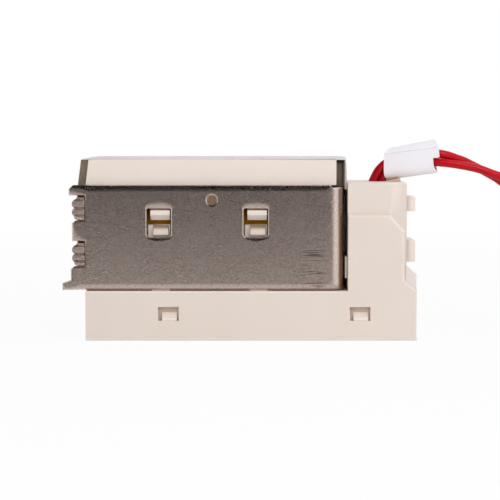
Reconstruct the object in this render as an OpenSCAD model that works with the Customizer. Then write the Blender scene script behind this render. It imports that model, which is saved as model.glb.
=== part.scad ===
// Trip solenoid of a power circuit breaker. A coil pulls the plunger to the left, and the push rod
// strikes the trip lever. Millimetres. X runs to the right along the coil axis, Y to the back, Z up.
// The origin is on the floor under the middle of the housing, without the leads.

/* [Coil and plunger] */
// Outside diameter of the taped coil
coil_d = 22.6; // [20:0.2:25]
// Room for the bobbin between the end plate and the frame's end wall
coil_l = 63.15; // [60:0.05:70]
// Diameter of the plunger and of the pole piece
plunger_d = 9; // [8.2:0.2:10]
// Travel of the plunger when the coil is energised
stroke = 6; // [4:0.5:8]
// Length of the pole piece inside the coil
pole_l = 22.9; // [20:0.1:26]
// Diameter of the push rod
rod_d = 3; // [2.6:0.1:3.4]
// How far the push rod stands out of the end plate at rest
rod_out = 1.5; // [1.3:0.1:3]
// Length of the plunger's tapered nose
nose_l = 3; // [2:0.25:4]
// Outside diameter of the return spring
spring_d = 5.2; // [4.8:0.1:5.6]
// Wire of the return spring
spring_wire = 0.5; // [0.4:0.05:0.6]
// Wall of the brass guide tube
tube_wall = 0.55; // [0.4:0.05:0.8]
// Wall of the bobbin's tube
bobbin_wall = 1; // [0.8:0.1:1.4]
// Thickness of the bobbin's plain flange
flange_t = 1.5; // [1.2:0.1:2.5]
// Thickness of the bobbin's flange that holds the pins
pin_flange_t = 3.2; // [2.6:0.1:4]
// Diameter of a coil pin
pin_d = 0.8; // [0.6:0.1:1]
// Thickness of the tape around the winding
tape_t = 0.3; // [0.2:0.05:0.6]

/* [Steel frame] */
// Thickness of the frame's sheet
sheet_t = 2; // [1.6:0.1:2.4]
// Inside radius of the frame's bends
bend_r = 1.4; // [1:0.1:1.6]
// How far the plates reach past the coil, above and below
frame_margin = 1.7; // [1.5:0.1:2.5]
// Width of the tongues that stand up at both ends
tongue_w = 22; // [16:1:23]
// Height of the tongues above the plates
tongue_h = 6.4; // [5.5:0.1:8]
// How far the left tongue leans in over the cover, in degrees
tongue_lean = 7.5; // [4:0.5:9]
// How far the frame's foot reaches past the end plate
foot_out = 3.6; // [2.6:0.05:4.5]
// Height of the frame's foot at its tip
foot_h = 1.5; // [1:0.1:2.2]
// Height of an end plate tab that is staked in the frame
tab_h = 5.6; // [4.8:0.1:6.2]
// Width of a clip window
window_w = 6.05; // [5.6:0.05:7]
// Height of a clip window
window_h = 7.2; // [6.8:0.1:7.6]
// Middle of the first window from the end plate
window_x = 18.6; // [15:0.05:22]
// Distance between the windows
window_pitch = 24.3; // [20:0.1:28]
// Middle of the windows above the coil axis
window_rise = 3.55; // [3:0.05:4]
// Diameter of the round dimple that keys the cover
dimple_d = 2.8; // [2:0.1:3.4]
// Middle of the dimple from the end plate
dimple_x = 31.85; // [29:0.05:34]
// Middle of the dimple above the windows
dimple_rise = 2.2; // [2:0.1:3]

/* [Base housing] */
// Height of the rail's top face
base_h = 12.5; // [11.5:0.25:15]
// Wall of the base housing
base_wall = 1.6; // [1.4:0.1:1.9]
// How far the base stands out past the plates, front and back
base_lip = 0.5; // [0.3:0.1:1.2]
// How far the rail's left end stands in from the end plate
base_inset = 2.2; // [1.5:0.1:4]
// Height of the pads that the plates rest on
pad_h = 0.35; // [0.2:0.05:0.8]
// Length of a pad
pad_l = 4.4; // [3:0.1:6]
// Middle of the first pad from the end plate
pad_x = 19.1; // [15:0.1:22]
// Distance between the pads
pad_pitch = 24.5; // [22:0.1:28]
// Length of the terminal tower
tower_l = 15.25; // [14:0.25:17]
// Height of the tower above the rail
tower_h = 27.1; // [25:0.1:31]
// Radius of the tower's outer corners
tower_r = 4.75; // [3.5:0.25:5.5]
// Height of the raised apron on the tower above the rail
apron_h = 19.25; // [17.5:0.25:21]
// Thickness of the apron
apron_t = 2; // [1.7:0.1:2.5]
// Gap between the frame's end wall and the tower
tower_gap = 0.7; // [0.65:0.05:1]
// Height of the rest ribs on the tower's left face
rib_h = 5.5; // [3:0.25:8]
// How far the locating lugs stand out of the tower
lug_out = 2.3; // [2:0.1:3.5]
// Width of a locating lug
lug_w = 15; // [10:0.5:16]
// Width of a snap pocket
pocket_w = 5.1; // [4.8:0.05:6]
// Height of a snap pocket
pocket_h = 3.4; // [3.2:0.1:3.8]
// Lower edge of the snap pockets above the floor
pocket_z = 5; // [4.6:0.1:5.6]
// Middle of the first snap pocket from the rail's left end
pocket_x = 20.75; // [18:0.05:24]
// Distance between the snap pockets
pocket_pitch = 48; // [46:0.25:49]

/* [Covers and label] */
// Thickness of the bottom cover's plate
floor_t = 0.9; // [0.8:0.1:1.4]
// Height of the bottom cover's end wall at its two ears
end_wall_h = 19; // [18.2:0.1:19.2]
// Thickness of the end wall
end_wall_t = 2.8; // [2.4:0.1:3]
// Wall of the top cover
cover_wall = 1.2; // [1:0.1:1.4]
// How far the top cover stands up past the tongues
cover_rise = 0.25; // [0.1:0.05:0.6]
// Thickness of the label film
label_t = 0.5; // [0.3:0.05:0.6]
// How far the label folds down past the top of the plates
label_drop = 1.05; // [0.5:0.05:4]

/* [Board] */
// Thickness of the circuit board
board_t = 1.6; // [1:0.1:2]
// Height of the posts that the board rests on
post_h = 2.3; // [2:0.1:2.8]
// Diameter of the capacitor
cap_d = 8; // [6:0.5:8.5]
// Height of the capacitor
cap_h = 12; // [8:0.5:16]
// Diameter of the varistor's disc
varistor_d = 7.5; // [5:0.5:9]
// Length of the rectifier's body
rectifier_l = 8.6; // [6:0.2:11]

/* [Leads] */
// Diameter of a lead
lead_d = 2.05; // [1.8:0.05:2.1]
// Length of the marker sleeve
sleeve_l = 12.8; // [8:0.1:13]
// Height of the marker sleeve across the leads
sleeve_h = 8.3; // [7.8:0.1:9]

/* [Hidden] */
$fn = 64;
fit = 0.1;        // gap between parts that are only put together
run = 0.05;       // radial gap of a part that slides
press = 0.01;     // radial gap of a part that is pressed in
clear = 0.4;      // gap between the coil and the clip arms
air_gap = 0.2;    // what is left between the pole faces at full travel

// Across: the coil, the clip arms beside it and the plates around them set the depth
arm_y0 = coil_d / 2 + clear;
arm_y1 = arm_y0 + cover_wall;
plate_y = arm_y1 + fit;
frame_w = 2 * (plate_y + sheet_t);
base_w = frame_w + 2 * base_lip;
wall_y = base_w / 2 - base_wall;

// Along: from the frame's foot to the ends of the lugs
overall_l = foot_out + 2 * sheet_t + coil_l + tower_gap + tower_l + lug_out;
foot_x = -overall_l / 2;
plate_x0 = foot_x + foot_out;
plate_x1 = plate_x0 + sheet_t;
wall_x0 = plate_x1 + coil_l;
wall_x1 = wall_x0 + sheet_t;
tower_x0 = wall_x1 + tower_gap;
tower_x1 = tower_x0 + tower_l;
lug_x1 = tower_x1 + lug_out;
apron_x1 = tower_x1 - 0.8;
end_x0 = apron_x1 + fit;
end_x1 = end_x0 + end_wall_t;
base_x0 = plate_x0 + base_inset;
base_x1 = end_x1 - 0.65;

// Up: the rail, the plates on its pads, the tongues and covers
frame_z0 = base_h + pad_h;
frame_h = coil_d + 2 * frame_margin;
frame_z1 = frame_z0 + frame_h;
axis_z = frame_z0 + frame_h / 2;
tongue_z1 = frame_z1 + tongue_h;
cover_z1 = tongue_z1 + cover_rise;
roof_z = base_h - base_wall;
tower_z1 = base_h + tower_h;
apron_z1 = base_h + apron_h;
board_z = floor_t + post_h;
board_z1 = board_z + board_t;

// End wall of the bottom cover: two ears rise beside the tower and slope down to the right
function end_slope_z(x) = end_wall_h - 0.86 * (x - end_x0);
end_ear_z = end_slope_z(end_x1 - 0.7);

// Clip windows, and the two clips that share each one
window_xs = [for (i = [0, 1]) plate_x1 + window_x + i * window_pitch];
window_z = axis_z + window_rise;
window_z0 = window_z - window_h / 2;
window_z1 = window_z + window_h / 2;
clip_w = window_w - 1.05;
clip_shift = 0.3;
clip_h = 2.8;
base_clip_w = window_w - 2.2;
base_clip_shift = 0.45;
base_clip_h = 3.1;
clip_y = plate_y + 0.7 * sheet_t;
skirt_z = window_z1 + 0.7;
pocket_xs = [for (i = [0, 1]) base_x0 + pocket_x + i * pocket_pitch];
pad_xs = [for (i = [0, 1]) plate_x1 + pad_x + i * pad_pitch];

// Dimple that keys the cover
dimple_c = [plate_x1 + dimple_x, window_z1 + dimple_rise];

// Tabs of the end plate above the coil axis, and how far the frame's teeth reach past the plate
tab_zs = [axis_z + 7.25, axis_z - 4.2];
tooth_out = [1.95, 1.2, 1.5];
notch_gap = [0.45, 0.2];
notch_lead = 0.65;
stake_out = 0.3;

// Plunger line: pole face, nose and spring seats
plunger_r = plunger_d / 2;
rod_r = rod_d / 2;
bore_r = plunger_r + run;
tube_r = bore_r + tube_wall;
spool_r = tube_r + run + bobbin_wall;
seat_r = spring_d / 2 + 0.25;
nose_r0 = seat_r + 0.4;
nose_r1 = max(plunger_r - 0.5, nose_r0 + 0.05);
cone_gap = 0.1;
seat_l = 4;
rod_seat_l = 8;
pole_x = plate_x1 + pole_l;
cone_l = nose_l + 0.15;
spring_x0 = pole_x - cone_l - seat_l;
plunger_x0 = pole_x + stroke + air_gap;
nose_x = plunger_x0 - nose_l;
spring_x1 = nose_x + nose_l + seat_l;
plunger_x1 = wall_x1 - 1;
rod_x0 = plate_x0 - rod_out;
rod_x1 = spring_x1 + rod_seat_l;
shank_r = min(3, plunger_r - 0.8);
ring_t = 0.6;
ring_x1 = plate_x0 - 0.2;
groove_r = rod_r - 0.4;

// Bobbin
spool_x0 = plate_x1 + 0.2;
spool_x1 = wall_x0 - 0.2;
wind_x0 = spool_x0 + flange_t + run;
wind_x1 = spool_x1 - pin_flange_t - run;
flange_w = coil_d + 0.2;
flange_h = coil_d + 1.4;
pin_x = spool_x1 - pin_flange_t / 2;
pin_ys = [-4, 4];
pin_z1 = axis_z - flange_h / 2 + 3.5;

// Board places: posts, lead terminals and parts
board_x0 = base_x0 + base_wall + 0.4;
board_x1 = end_x0 - 0.6;
board_w = 2 * (wall_y - fit - cover_wall - 0.4);
post_xs = [board_x0 + 3.5, board_x1 - 3.5];
post_y = board_w / 2 - 2.6;
tower_mid = (tower_x0 + tower_x1) / 2;
outlet_x = tower_x0 + 8.15;
terminal_xs = [outlet_x - 2.3, outlet_x];
terminal_z1 = 14;
cap_y = -2 - cap_d / 2;
varistor_y = 6.5;

// Lead routes, from the terminals out of the tower and down to the coil on the floor
lead_a_route = [[32.8, 0, 14], [32.8, 0, 20], [32.8, 0, 26], [32.8, 0, 31], [32.95, 0, 35], [33.45, 0, 37.8],
  [34.15, 0, 39.5], [34.95, 0.1, 41.25], [35.85, 0.2, 42.75], [37.55, 0.3, 44.25], [40.5, -0.2, 45.7],
  [44, -1, 46.7], [48, -2.2, 47.1], [51.4, -2.6, 46.8], [53.3, -2.4, 46.4], [55.5, -1.9, 45.6],
  [57.5, -1.4, 44.8], [59.5, -1.2, 43.8], [61.8, -1.1, 42.7], [63.4, -1.1, 41.8], [65.4, -1.1, 40.7],
  [67, -1, 39.6], [70, -0.7, 37.3], [73, -0.3, 34.5], [75.8, 0.1, 31.2], [78.3, 0.5, 27.7],
  [80.6, 0.9, 24.2], [83, 1, 20.7], [86, 1, 17.4], [89.4, 1, 15], [93, 1, 13.5], [97, 1, 13]];
lead_b_route = [[35.1, 0, 14], [35.1, 0, 20], [35.1, 0, 26], [35.1, 0, 31], [35.3, 0, 35], [35.9, 0, 37.8],
  [36.6, 0, 39.5], [37.5, 0, 41.05], [39.2, 0, 42.6], [42, -0.7, 43.8], [46, -1.9, 44.5], [49.4, -3.1, 44.6],
  [51.4, -3.4, 44.5], [54.8, -3.5, 44.1], [58.6, -3.4, 43.4], [61.8, -3.3, 42.6], [64.4, -3.3, 41.6],
  [66.7, -3.2, 40.8], [69.5, -3, 39.2], [72.6, -2.6, 36.4], [75.4, -2.2, 33], [77.9, -1.8, 29],
  [80.2, -1.4, 24.6], [82.7, -1.1, 20], [85.7, -1.1, 16], [89.2, -1.1, 13], [93, -1.1, 11.4],
  [97, -1.1, 10.9]];
tail_a_route = [[97, 21, 1.45], [92.5, 21, 1.3], [88, 21, 1.25], [85, 21, 1.6]];
tail_b_route = [[97, 23.1, 1.45], [93, 23.2, 1.45], [89.5, 23.9, 1.5], [86, 25, 1.6]];
hank = [97, 11];
hank_r = [10, 12.1];
hank_z = [0.45, 13, 10.9];
sleeve_mid = [44.2, -1.3, 45.25];
sleeve_tilt = 9.5;
sleeve_turn = -18;
sleeve_w = 4.4;
sleeve_t = 0.35;

// Helpers that draw in the three planes of the part

// A side view (X, Z) drawn out from y0 to y1
module side(y0, y1) translate([0, y1, 0]) rotate([90, 0, 0]) linear_extrude(y1 - y0) children();

// An end view (Y, Z) drawn out from x0 to x1
module end(x0, x1) translate([x0, 0, 0]) rotate([90, 0, 90]) linear_extrude(x1 - x0) children();

// A half section [radius, x] turned about the coil axis
module turned(points) translate([0, 0, axis_z]) rotate([0, 90, 0]) rotate_extrude() polygon(points);

// A round bar along the coil axis
module bar(x0, x1, r) translate([x0, 0, axis_z]) rotate([0, 90, 0]) cylinder(x1 - x0, r, r);

// A box between two corners
module box(a, b) translate(a) cube(b - a);

// A plan view with its right-hand corners rounded
module round_end(x0, x1, w, r) {
  translate([x0, -w / 2]) square([x1 - r - x0, w]);
  translate([x0, r - w / 2]) square([x1 - x0, w - 2 * r]);
  for (s = [-1, 1]) translate([x1 - r, s * (w / 2 - r)]) circle(r);
}

// An end view with its upper corners rounded
module round_top(w, z0, z1, r) {
  translate([-w / 2, z0]) square([w, z1 - r - z0]);
  translate([r - w / 2, z0]) square([w - 2 * r, z1 - z0]);
  for (s = [-1, 1]) translate([s * (w / 2 - r), z1 - r]) circle(r);
}

// A slot with round ends
module slot(l, w) {
  square([l - w, w], center = true);
  for (s = [-1, 1]) translate([s * (l - w) / 2, 0]) circle(w / 2);
}

// Both the front and the back
module both() {
  children();
  mirror([0, 1, 0]) children();
}

function unit(v) = v / norm(v);
function heading(p, i) = unit(p[min(i + 1, len(p) - 1)] - p[max(i - 1, 0)]);
function ring(p, i, r, n, ref) = let (t = heading(p, i), u = unit(cross(t, ref)), v = cross(u, t))
  [for (k = [0 : n - 1]) p[i] + r * (cos(360 * k / n) * u + sin(360 * k / n) * v)];

// A tube of n sides swept along points
module swept(p, d, n, ref) {
  m = len(p);
  polyhedron(
    [for (i = [0 : m - 1]) each ring(p, i, d / 2, n, ref)],
    [[for (k = [n - 1 : -1 : 0]) k], [for (k = [0 : n - 1]) (m - 1) * n + k],
      for (i = [0 : m - 2], k = [0 : n - 1])
        [i * n + k, i * n + (k + 1) % n, (i + 1) * n + (k + 1) % n, (i + 1) * n + k]],
    convexity = 10);
}

// Housing

// The rail with the apron that rises over the tower's front and back
module rail_outline() polygon([
  [base_x0, floor_t], [base_x1, floor_t], [base_x1, base_h + 0.85], [apron_x1, base_h + 2.8],
  [apron_x1, apron_z1 - 4.25], [apron_x1 - 3.75, apron_z1], [tower_x0, apron_z1], [tower_x0, base_h],
  [base_x0, base_h]]);

// A locating lug across the tower's right face
module lug(z0, z1) box([tower_x1 - 1, -lug_w / 2, base_h + z0], [lug_x1, lug_w / 2, base_h + z1]);

module tower() {
  translate([0, 0, base_h - 1]) linear_extrude(tower_h + 1)
    round_end(tower_x0, tower_x1, base_w - 2 * apron_t, tower_r);
  lug(6.8, 10.9);
  lug(19.7, 23.7);
  side(-lug_w / 2, lug_w / 2) translate([tower_x1 - 1, base_h + 10.5]) square([lug_out + 0.75, 2.1]);
  side(-4, 4) polygon([[outlet_x + 2.8, tower_z1 - 0.5], [outlet_x + 5.9, tower_z1 - 0.5],
    [outlet_x + 5.9, tower_z1 + 0.9], [outlet_x + 2.8, tower_z1 + 0.3]]);
  both() box([wall_x1 + fit, tongue_w / 2 - 3, base_h + 3], [tower_x0 + 0.5, plate_y, base_h + 3 + rib_h]);
}

// An arm behind the plate, whose narrower barb holds down the frame by the window's lower edge
module base_arm(x) {
  z0 = window_z0 + fit;
  w = window_w - 0.3;
  side(arm_y0, arm_y1) translate([x - w / 2, roof_z + 0.5]) square([w, z0 + base_clip_h - roof_z - 0.5]);
  end(x + base_clip_shift - base_clip_w / 2, x + base_clip_shift + base_clip_w / 2) polygon([
    [arm_y0 + 0.5, z0], [arm_y1, z0], [clip_y, z0 + 0.6], [clip_y, z0 + 2.2], [arm_y1, z0 + base_clip_h],
    [arm_y0 + 0.5, z0 + base_clip_h]]);
}

module base_housing() color("#e6d8cd") difference() {
  union() {
    side(-base_w / 2, base_w / 2) rail_outline();
    tower();
    both() {
      for (x = window_xs) base_arm(x);
      for (x = pad_xs)
        box([x - pad_l / 2, plate_y - 0.4, base_h - 0.5], [x + pad_l / 2, frame_w / 2, frame_z0]);
    }
  }
  box([base_x0 + base_wall, -wall_y, 0], [lug_x1, wall_y, roof_z]);
  box([apron_x1 + fit / 2, -wall_y, 0], [lug_x1 + 1, wall_y, end_ear_z + fit]);
  translate([0, 0, roof_z - 0.5]) linear_extrude(tower_h)
    round_end(tower_x0 + base_wall, tower_x1 - base_wall, base_w - 2 * apron_t - 2 * base_wall,
      tower_r - base_wall);
  both() for (x = pocket_xs)
    box([x - pocket_w / 2, wall_y - 1, pocket_z], [x + pocket_w / 2, base_w, pocket_z + pocket_h]);
  for (y = pin_ys) translate([pin_x, y, roof_z - 1]) cylinder(base_wall + 2, pin_d, pin_d);
  translate([outlet_x, 0, tower_z1 - base_wall - 1]) linear_extrude(base_wall + 2) slot(5.9, 2.8);
}

// An arm behind the rail's wall, whose narrower hook springs into a pocket
module snap_hook(x) {
  y = wall_y - fit;
  z = pocket_z + fit;
  w = pocket_w - 1.4;
  box([x - pocket_w / 2 - 0.5, y - cover_wall, floor_t / 2],
    [x + pocket_w / 2 + 0.5, y, pocket_z + pocket_h + 0.5]);
  end(x + 0.25 - w / 2, x + 0.25 + w / 2) polygon([[y - 0.5, z], [base_w / 2 - 0.1, z],
    [base_w / 2 - 0.1, z + 0.5], [y, z + 1.9], [y - 0.5, z + 1.9]]);
}

module bottom_cover() color("#dfdbdf") {
  box([base_x0, -base_w / 2, 0], [end_x1, base_w / 2, floor_t]);
  side(fit - wall_y, wall_y - fit) polygon([[end_x0, floor_t / 2], [end_x1, floor_t / 2],
    [end_x1, end_slope_z(end_x1)], [end_x1 - 0.7, end_ear_z], [end_x0, end_ear_z]]);
  both() side(wall_y - fit - 1.5, wall_y - fit) polygon([[end_x0, end_ear_z - 1], [end_x1 - 0.7, end_ear_z - 1],
    [end_x1 - 0.7, end_slope_z(end_x1 - 0.7)], [end_x0, end_wall_h]]);
  both() for (x = pocket_xs) snap_hook(x);
  for (x = post_xs, y = [-post_y, post_y]) translate([x, y, floor_t / 2]) {
    cylinder(floor_t / 2 + post_h, 2.2, 2.2);
    cylinder(floor_t / 2 + post_h + board_t + 0.6, 0.9, 0.9);
  }
}

// Steel frame

// What the left edge of both plates loses: two notches for the tabs, and the room above the foot
module left_edge() {
  x = [for (t = tooth_out) plate_x0 - t];
  n = [for (z = tab_zs) [z + tab_h / 2 + notch_gap[0], z - tab_h / 2 - notch_gap[1]]];
  polygon([[foot_x - 1, frame_z1 + 1], [x[0] + 1.1, frame_z1 + 1], [x[0] + 1.1, frame_z1],
    [x[0], frame_z1 - 0.9], [x[0], n[0][0]], [plate_x1 + fit, n[0][0]], [plate_x1 + fit, n[0][1]],
    [x[1] + 1, n[0][1]], [x[1], n[0][1] - notch_lead], [x[1], n[1][0]], [plate_x1 + fit, n[1][0]],
    [plate_x1 + fit, n[1][1]], [x[2] + 1, n[1][1]], [x[2], n[1][1] - notch_lead],
    [x[2], frame_z0 + foot_h + 0.75], [foot_x, frame_z0 + foot_h], [foot_x, frame_z0 - 1],
    [foot_x - 1, frame_z0 - 1]]);
}

// A window with a flared rim, and a ramp above it that the clip slides in on
module window_cut(x) {
  flare = 0.3;
  y = frame_w / 2;
  ramp_r = 7.5;
  ramp_y = 0.6;
  ramp_a = 22;
  box([x - window_w / 2, plate_y - 1, window_z0], [x + window_w / 2, y + 1, window_z1]);
  intersection() {
    translate([0, 0, window_z0 - 1]) linear_extrude(window_h + 2) polygon([
      [x - window_w / 2, y - flare], [x + window_w / 2, y - flare],
      [x + window_w / 2 + 2 * flare, y + flare], [x - window_w / 2 - 2 * flare, y + flare]]);
    end(x - window_w, x + window_w) polygon([[y - flare, window_z0], [y - flare, window_z1],
      [y + flare, window_z1 + 2 * flare], [y + flare, window_z0 - 2 * flare]]);
  }
  translate([x, y - ramp_y, window_z1]) rotate([-ramp_a, 0, 0]) translate([0, ramp_r, 0])
    cylinder(4, ramp_r, ramp_r);
}

// Where a plate turns into the end wall, its top is cut lower
module bend_relief() side(tongue_w / 2 + 0.8, frame_w) polygon([[wall_x0 - bend_r - 0.5, frame_z1],
  [wall_x0 - bend_r, frame_z1 - 0.6], [wall_x1 + 1, frame_z1 - 0.6], [wall_x1 + 1, frame_z1 + 1],
  [wall_x0 - bend_r - 0.5, frame_z1 + 1]]);

// The dimple drawn along Y at the front and back
module dimple(y0, y1) both() translate([dimple_c[0], y1, dimple_c[1]]) rotate([90, 0, 0])
  cylinder(y1 - y0, dimple_d / 2, dimple_d / 2);

module steel_frame() color("#8f8984") difference() {
  union() {
    translate([0, 0, frame_z0]) linear_extrude(frame_h) difference() {
      round_end(foot_x, wall_x1, frame_w, bend_r + sheet_t);
      round_end(foot_x - 1, wall_x0, 2 * plate_y, bend_r);
    }
    end(wall_x0, wall_x1) round_top(tongue_w, frame_z1 - 1, tongue_z1, 1.5);
    dimple(plate_y - 0.5, plate_y + 0.5);
  }
  side(-frame_w, frame_w) left_edge();
  both() for (x = window_xs) window_cut(x);
  dimple(frame_w / 2 - 0.5, frame_w / 2 + 1);
  both() bend_relief();
  both() translate([wall_x0 - 1, tongue_w / 2 + 0.8, frame_z1]) rotate([0, 90, 0])
    cylinder(sheet_t + 2, 0.8, 0.8);
  bar(wall_x0 - 1, wall_x1 + 1, tube_r + run);
}

// A tab with its end peened into three lobes, the lowest one smaller
module staked_tab(z) {
  y = frame_w / 2 + stake_out;
  difference() {
    union() {
      box([plate_x0, plate_y - 1, z - tab_h / 2], [plate_x1, y, z + tab_h / 2]);
      for (l = [[1.15, 1.25], [-0.95, 1.25], [-2.1, 0.7]]) translate([plate_x0 + 0.15, y, z + l[0]])
        rotate([90, 0, 0]) cylinder(1.2, l[1], l[1]);
    }
    for (h = [0.1, -1.75, 2.25]) translate([plate_x0 - 1.5, y, z + h]) rotate([0, 90, 0])
      cylinder(sheet_t + 2, 0.3, 0.3);
  }
}

module end_plate() color("#857c62") difference() {
  lean = tongue_h * tan(tongue_lean);
  union() {
    box([plate_x0, fit - plate_y, frame_z0], [plate_x1, plate_y - fit, frame_z1]);
    side(-tongue_w / 2, tongue_w / 2) polygon([[plate_x0, frame_z1 - 1], [plate_x1, frame_z1 - 1],
      [plate_x1, frame_z1], [plate_x1 + lean, tongue_z1], [plate_x0 + lean, tongue_z1],
      [plate_x0, frame_z1]]);
    both() for (z = tab_zs) staked_tab(z);
  }
  bar(plate_x0 - 1, plate_x1 + 1, shank_r + press);
}

// Top cover and label
cover_x0 = plate_x1 + fit;
cover_x1 = wall_x0 - fit;
lean_x = tongue_h * tan(tongue_lean);
seat_z = axis_z + flange_h / 2 + fit;

module cover_outline() polygon([[cover_x0, seat_z], [wall_x0 - bend_r, seat_z],
  [wall_x0 - bend_r, frame_z1], [cover_x1, frame_z1], [cover_x1, cover_z1], [cover_x0 + lean_x + 1.2, cover_z1],
  [cover_x0 + lean_x, tongue_z1], [cover_x0, frame_z1]]);

// A clip below the skirt, whose barb catches under the window's upper edge
module cover_clip(x) {
  z1 = window_z1 - fit;
  side(arm_y0, arm_y1) translate([x - clip_w / 2, z1 - clip_h]) square([clip_w, skirt_z - z1 + clip_h + 0.5]);
  end(x - clip_w / 2, x + clip_w / 2) polygon([[arm_y0 + 0.5, z1 - clip_h], [arm_y1, z1 - clip_h],
    [clip_y, z1 - 0.5 * clip_h], [clip_y, z1 - 0.3], [arm_y1, z1], [arm_y0 + 0.5, z1]]);
}

module top_cover() color("#e6d8cd") difference() {
  union() {
    intersection() {
      side(-arm_y1, arm_y1) cover_outline();
      end(plate_x0, wall_x1) round_top(2 * arm_y1, seat_z - 1, cover_z1, 0.4);
    }
    both() {
      box([cover_x0, arm_y0, skirt_z], [wall_x0 - bend_r, arm_y1, seat_z + 0.5]);
      for (x = window_xs) cover_clip(x + clip_shift);
    }
  }
  box([cover_x0 + lean_x + cover_wall, -arm_y0, seat_z - 1],
    [wall_x0 - bend_r - cover_wall, arm_y0, cover_z1 - cover_wall - cover_rise]);
  both() box([dimple_c[0] - dimple_d / 2 - 0.4, arm_y0 - 0.5, skirt_z - 1],
    [dimple_c[0] + dimple_d / 2 + 0.4, arm_y1 + 1, dimple_c[1] + dimple_d / 2 + 0.4]);
}

// The label starts on the left tongue, lies on the cover and springs off the end wall's tongue
module top_label() color("#e0dce2") side(0.5 - arm_y1, arm_y1 - 0.5) {
  t0 = plate_x0 + lean_x;
  t1 = plate_x1 + lean_x;
  z0 = tongue_z1 + 0.02;
  x1 = wall_x1 + 0.02;
  end_z = frame_z1 - label_drop;
  polygon([[t0 + 0.15, z0], [t1, z0], [t1 + 1.2, cover_z1], [x1, cover_z1], [x1 + 0.25, end_z],
    [x1 + 0.62, end_z], [x1 + 0.36, cover_z1 + 0.1], [x1 + 0.1, cover_z1 + label_t],
    [t1 + 0.9, cover_z1 + label_t], [t1 - 0.6, z0 + 0.38], [t0 + 0.15, z0 + 0.1]]);
}

// Coil

module bobbin() color("#3a3a3c") difference() {
  union() {
    bar(spool_x0, spool_x1, spool_r);
    for (f = [[spool_x0, flange_t], [spool_x1 - pin_flange_t, pin_flange_t]])
      box([f[0], -flange_w / 2, axis_z - flange_h / 2], [f[0] + f[1], flange_w / 2, axis_z + flange_h / 2]);
  }
  bar(spool_x0 - 1, spool_x1 + 1, tube_r + run);
  for (y = pin_ys) translate([pin_x, y, axis_z - flange_h / 2 - 1])
    cylinder(pin_z1 - axis_z + flange_h / 2 + 1 + press, pin_d / 2 + press, pin_d / 2 + press);
}

module coil_winding() color("#a8642f") turned([[spool_r + press, wind_x0], [spool_r + press, wind_x1],
  [coil_d / 2 - tape_t - press, wind_x1], [coil_d / 2 - tape_t - press, wind_x0]]);

module coil_tape() color("#a08316") turned([[coil_d / 2 - tape_t, wind_x0], [coil_d / 2 - tape_t, wind_x1],
  [coil_d / 2, wind_x1], [coil_d / 2, wind_x0]]);

module guide_tube() color("#b99b4e") turned([[bore_r, plate_x1 + 0.05], [bore_r, wall_x1],
  [tube_r, wall_x1], [tube_r, plate_x1 + 0.05]]);

module pole_piece() color("#8b8d90") turned([[rod_r + run, plate_x0], [shank_r, plate_x0],
  [shank_r, plate_x1], [plunger_r, plate_x1], [plunger_r, pole_x], [nose_r1 + cone_gap, pole_x],
  [nose_r0 + cone_gap, pole_x - cone_l], [seat_r, pole_x - cone_l], [seat_r, spring_x0],
  [rod_r + run, spring_x0]]);

module coil_pins() color("#c9b06a") for (y = pin_ys) translate([pin_x, y, board_z - 0.8])
  cylinder(pin_z1 - board_z + 0.8, pin_d / 2, pin_d / 2);

// Plunger

module plunger() color("#9a9ca0") turned([[seat_r, nose_x], [nose_r0, nose_x], [nose_r1, plunger_x0],
  [plunger_r, plunger_x0], [plunger_r, plunger_x1 - 0.5], [plunger_r - 0.5, plunger_x1], [0, plunger_x1],
  [0, rod_x1 + press], [rod_r + press, rod_x1 + press], [rod_r + press, spring_x1], [seat_r, spring_x1]]);

module push_rod() color("#b4b6b8") turned([[0, rod_x0], [rod_r - 0.25, rod_x0], [rod_r, rod_x0 + 0.25],
  [rod_r, ring_x1 - ring_t - run], [groove_r, ring_x1 - ring_t - run], [groove_r, ring_x1 + run],
  [rod_r, ring_x1 + run], [rod_r, rod_x1], [0, rod_x1]]);

// The retaining clip grips the rod's groove with three teeth and is open below
module retaining_ring() color("#5d5f63") translate([ring_x1 - ring_t, 0, axis_z]) rotate([90, 0, 90])
  linear_extrude(ring_t) difference() {
    union() {
      difference() {
        circle(rod_r + 1.6);
        circle(rod_r + 0.5);
      }
      for (a = [90, 195, 345]) rotate(a) translate([0, -0.5]) square([rod_r + 1, 1]);
    }
    circle(groove_r + press);
    translate([-groove_r * 0.8, -rod_r - 3]) square([groove_r * 1.6, rod_r + 3]);
  }

// Turns lie close at both ends of the spring and spread evenly between
spring_n = 10;
spring_seg = 14;
function spring_x(u) = let (lie = spring_wire + 0.02, free = spring_x1 - spring_x0 - 3 * lie)
  spring_x0 + lie / 2 + (u < 1 ? u * lie : u > spring_n - 1 ? lie + free + (u - spring_n + 1) * lie
    : lie + free * (u - 1) / (spring_n - 2));

module return_spring() color("#c3c5c8") swept([for (i = [0 : spring_n * spring_seg])
  let (u = i / spring_seg, r = (spring_d - spring_wire) / 2)
    [spring_x(u), r * cos(360 * u), axis_z + r * sin(360 * u)]], spring_wire, 6, [1, 0, 0]);

// Board

module circuit_board() color("#2f6b45") difference() {
  box([board_x0, -board_w / 2, board_z], [board_x1, board_w / 2, board_z1]);
  for (x = post_xs, y = [-post_y, post_y]) translate([x, y, 0]) cylinder(board_z1 + 1, 1, 1);
  for (y = pin_ys) translate([pin_x, y, 0]) cylinder(board_z1 + 1, pin_d / 2 + run, pin_d / 2 + run);
  for (x = terminal_xs) translate([x, 0, 0]) cylinder(board_z1 + 1, 0.65, 0.65);
}

module rectifier() color("#222326") {
  box([-rectifier_l / 2, -3.2, board_z1 + 0.5], [rectifier_l / 2, 3.2, board_z1 + 3.7]);
  for (x = [-2.5, 2.5]) both() box([x - 0.3, 3, board_z1], [x + 0.3, 3.6, board_z1 + 2.2]);
}

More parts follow.
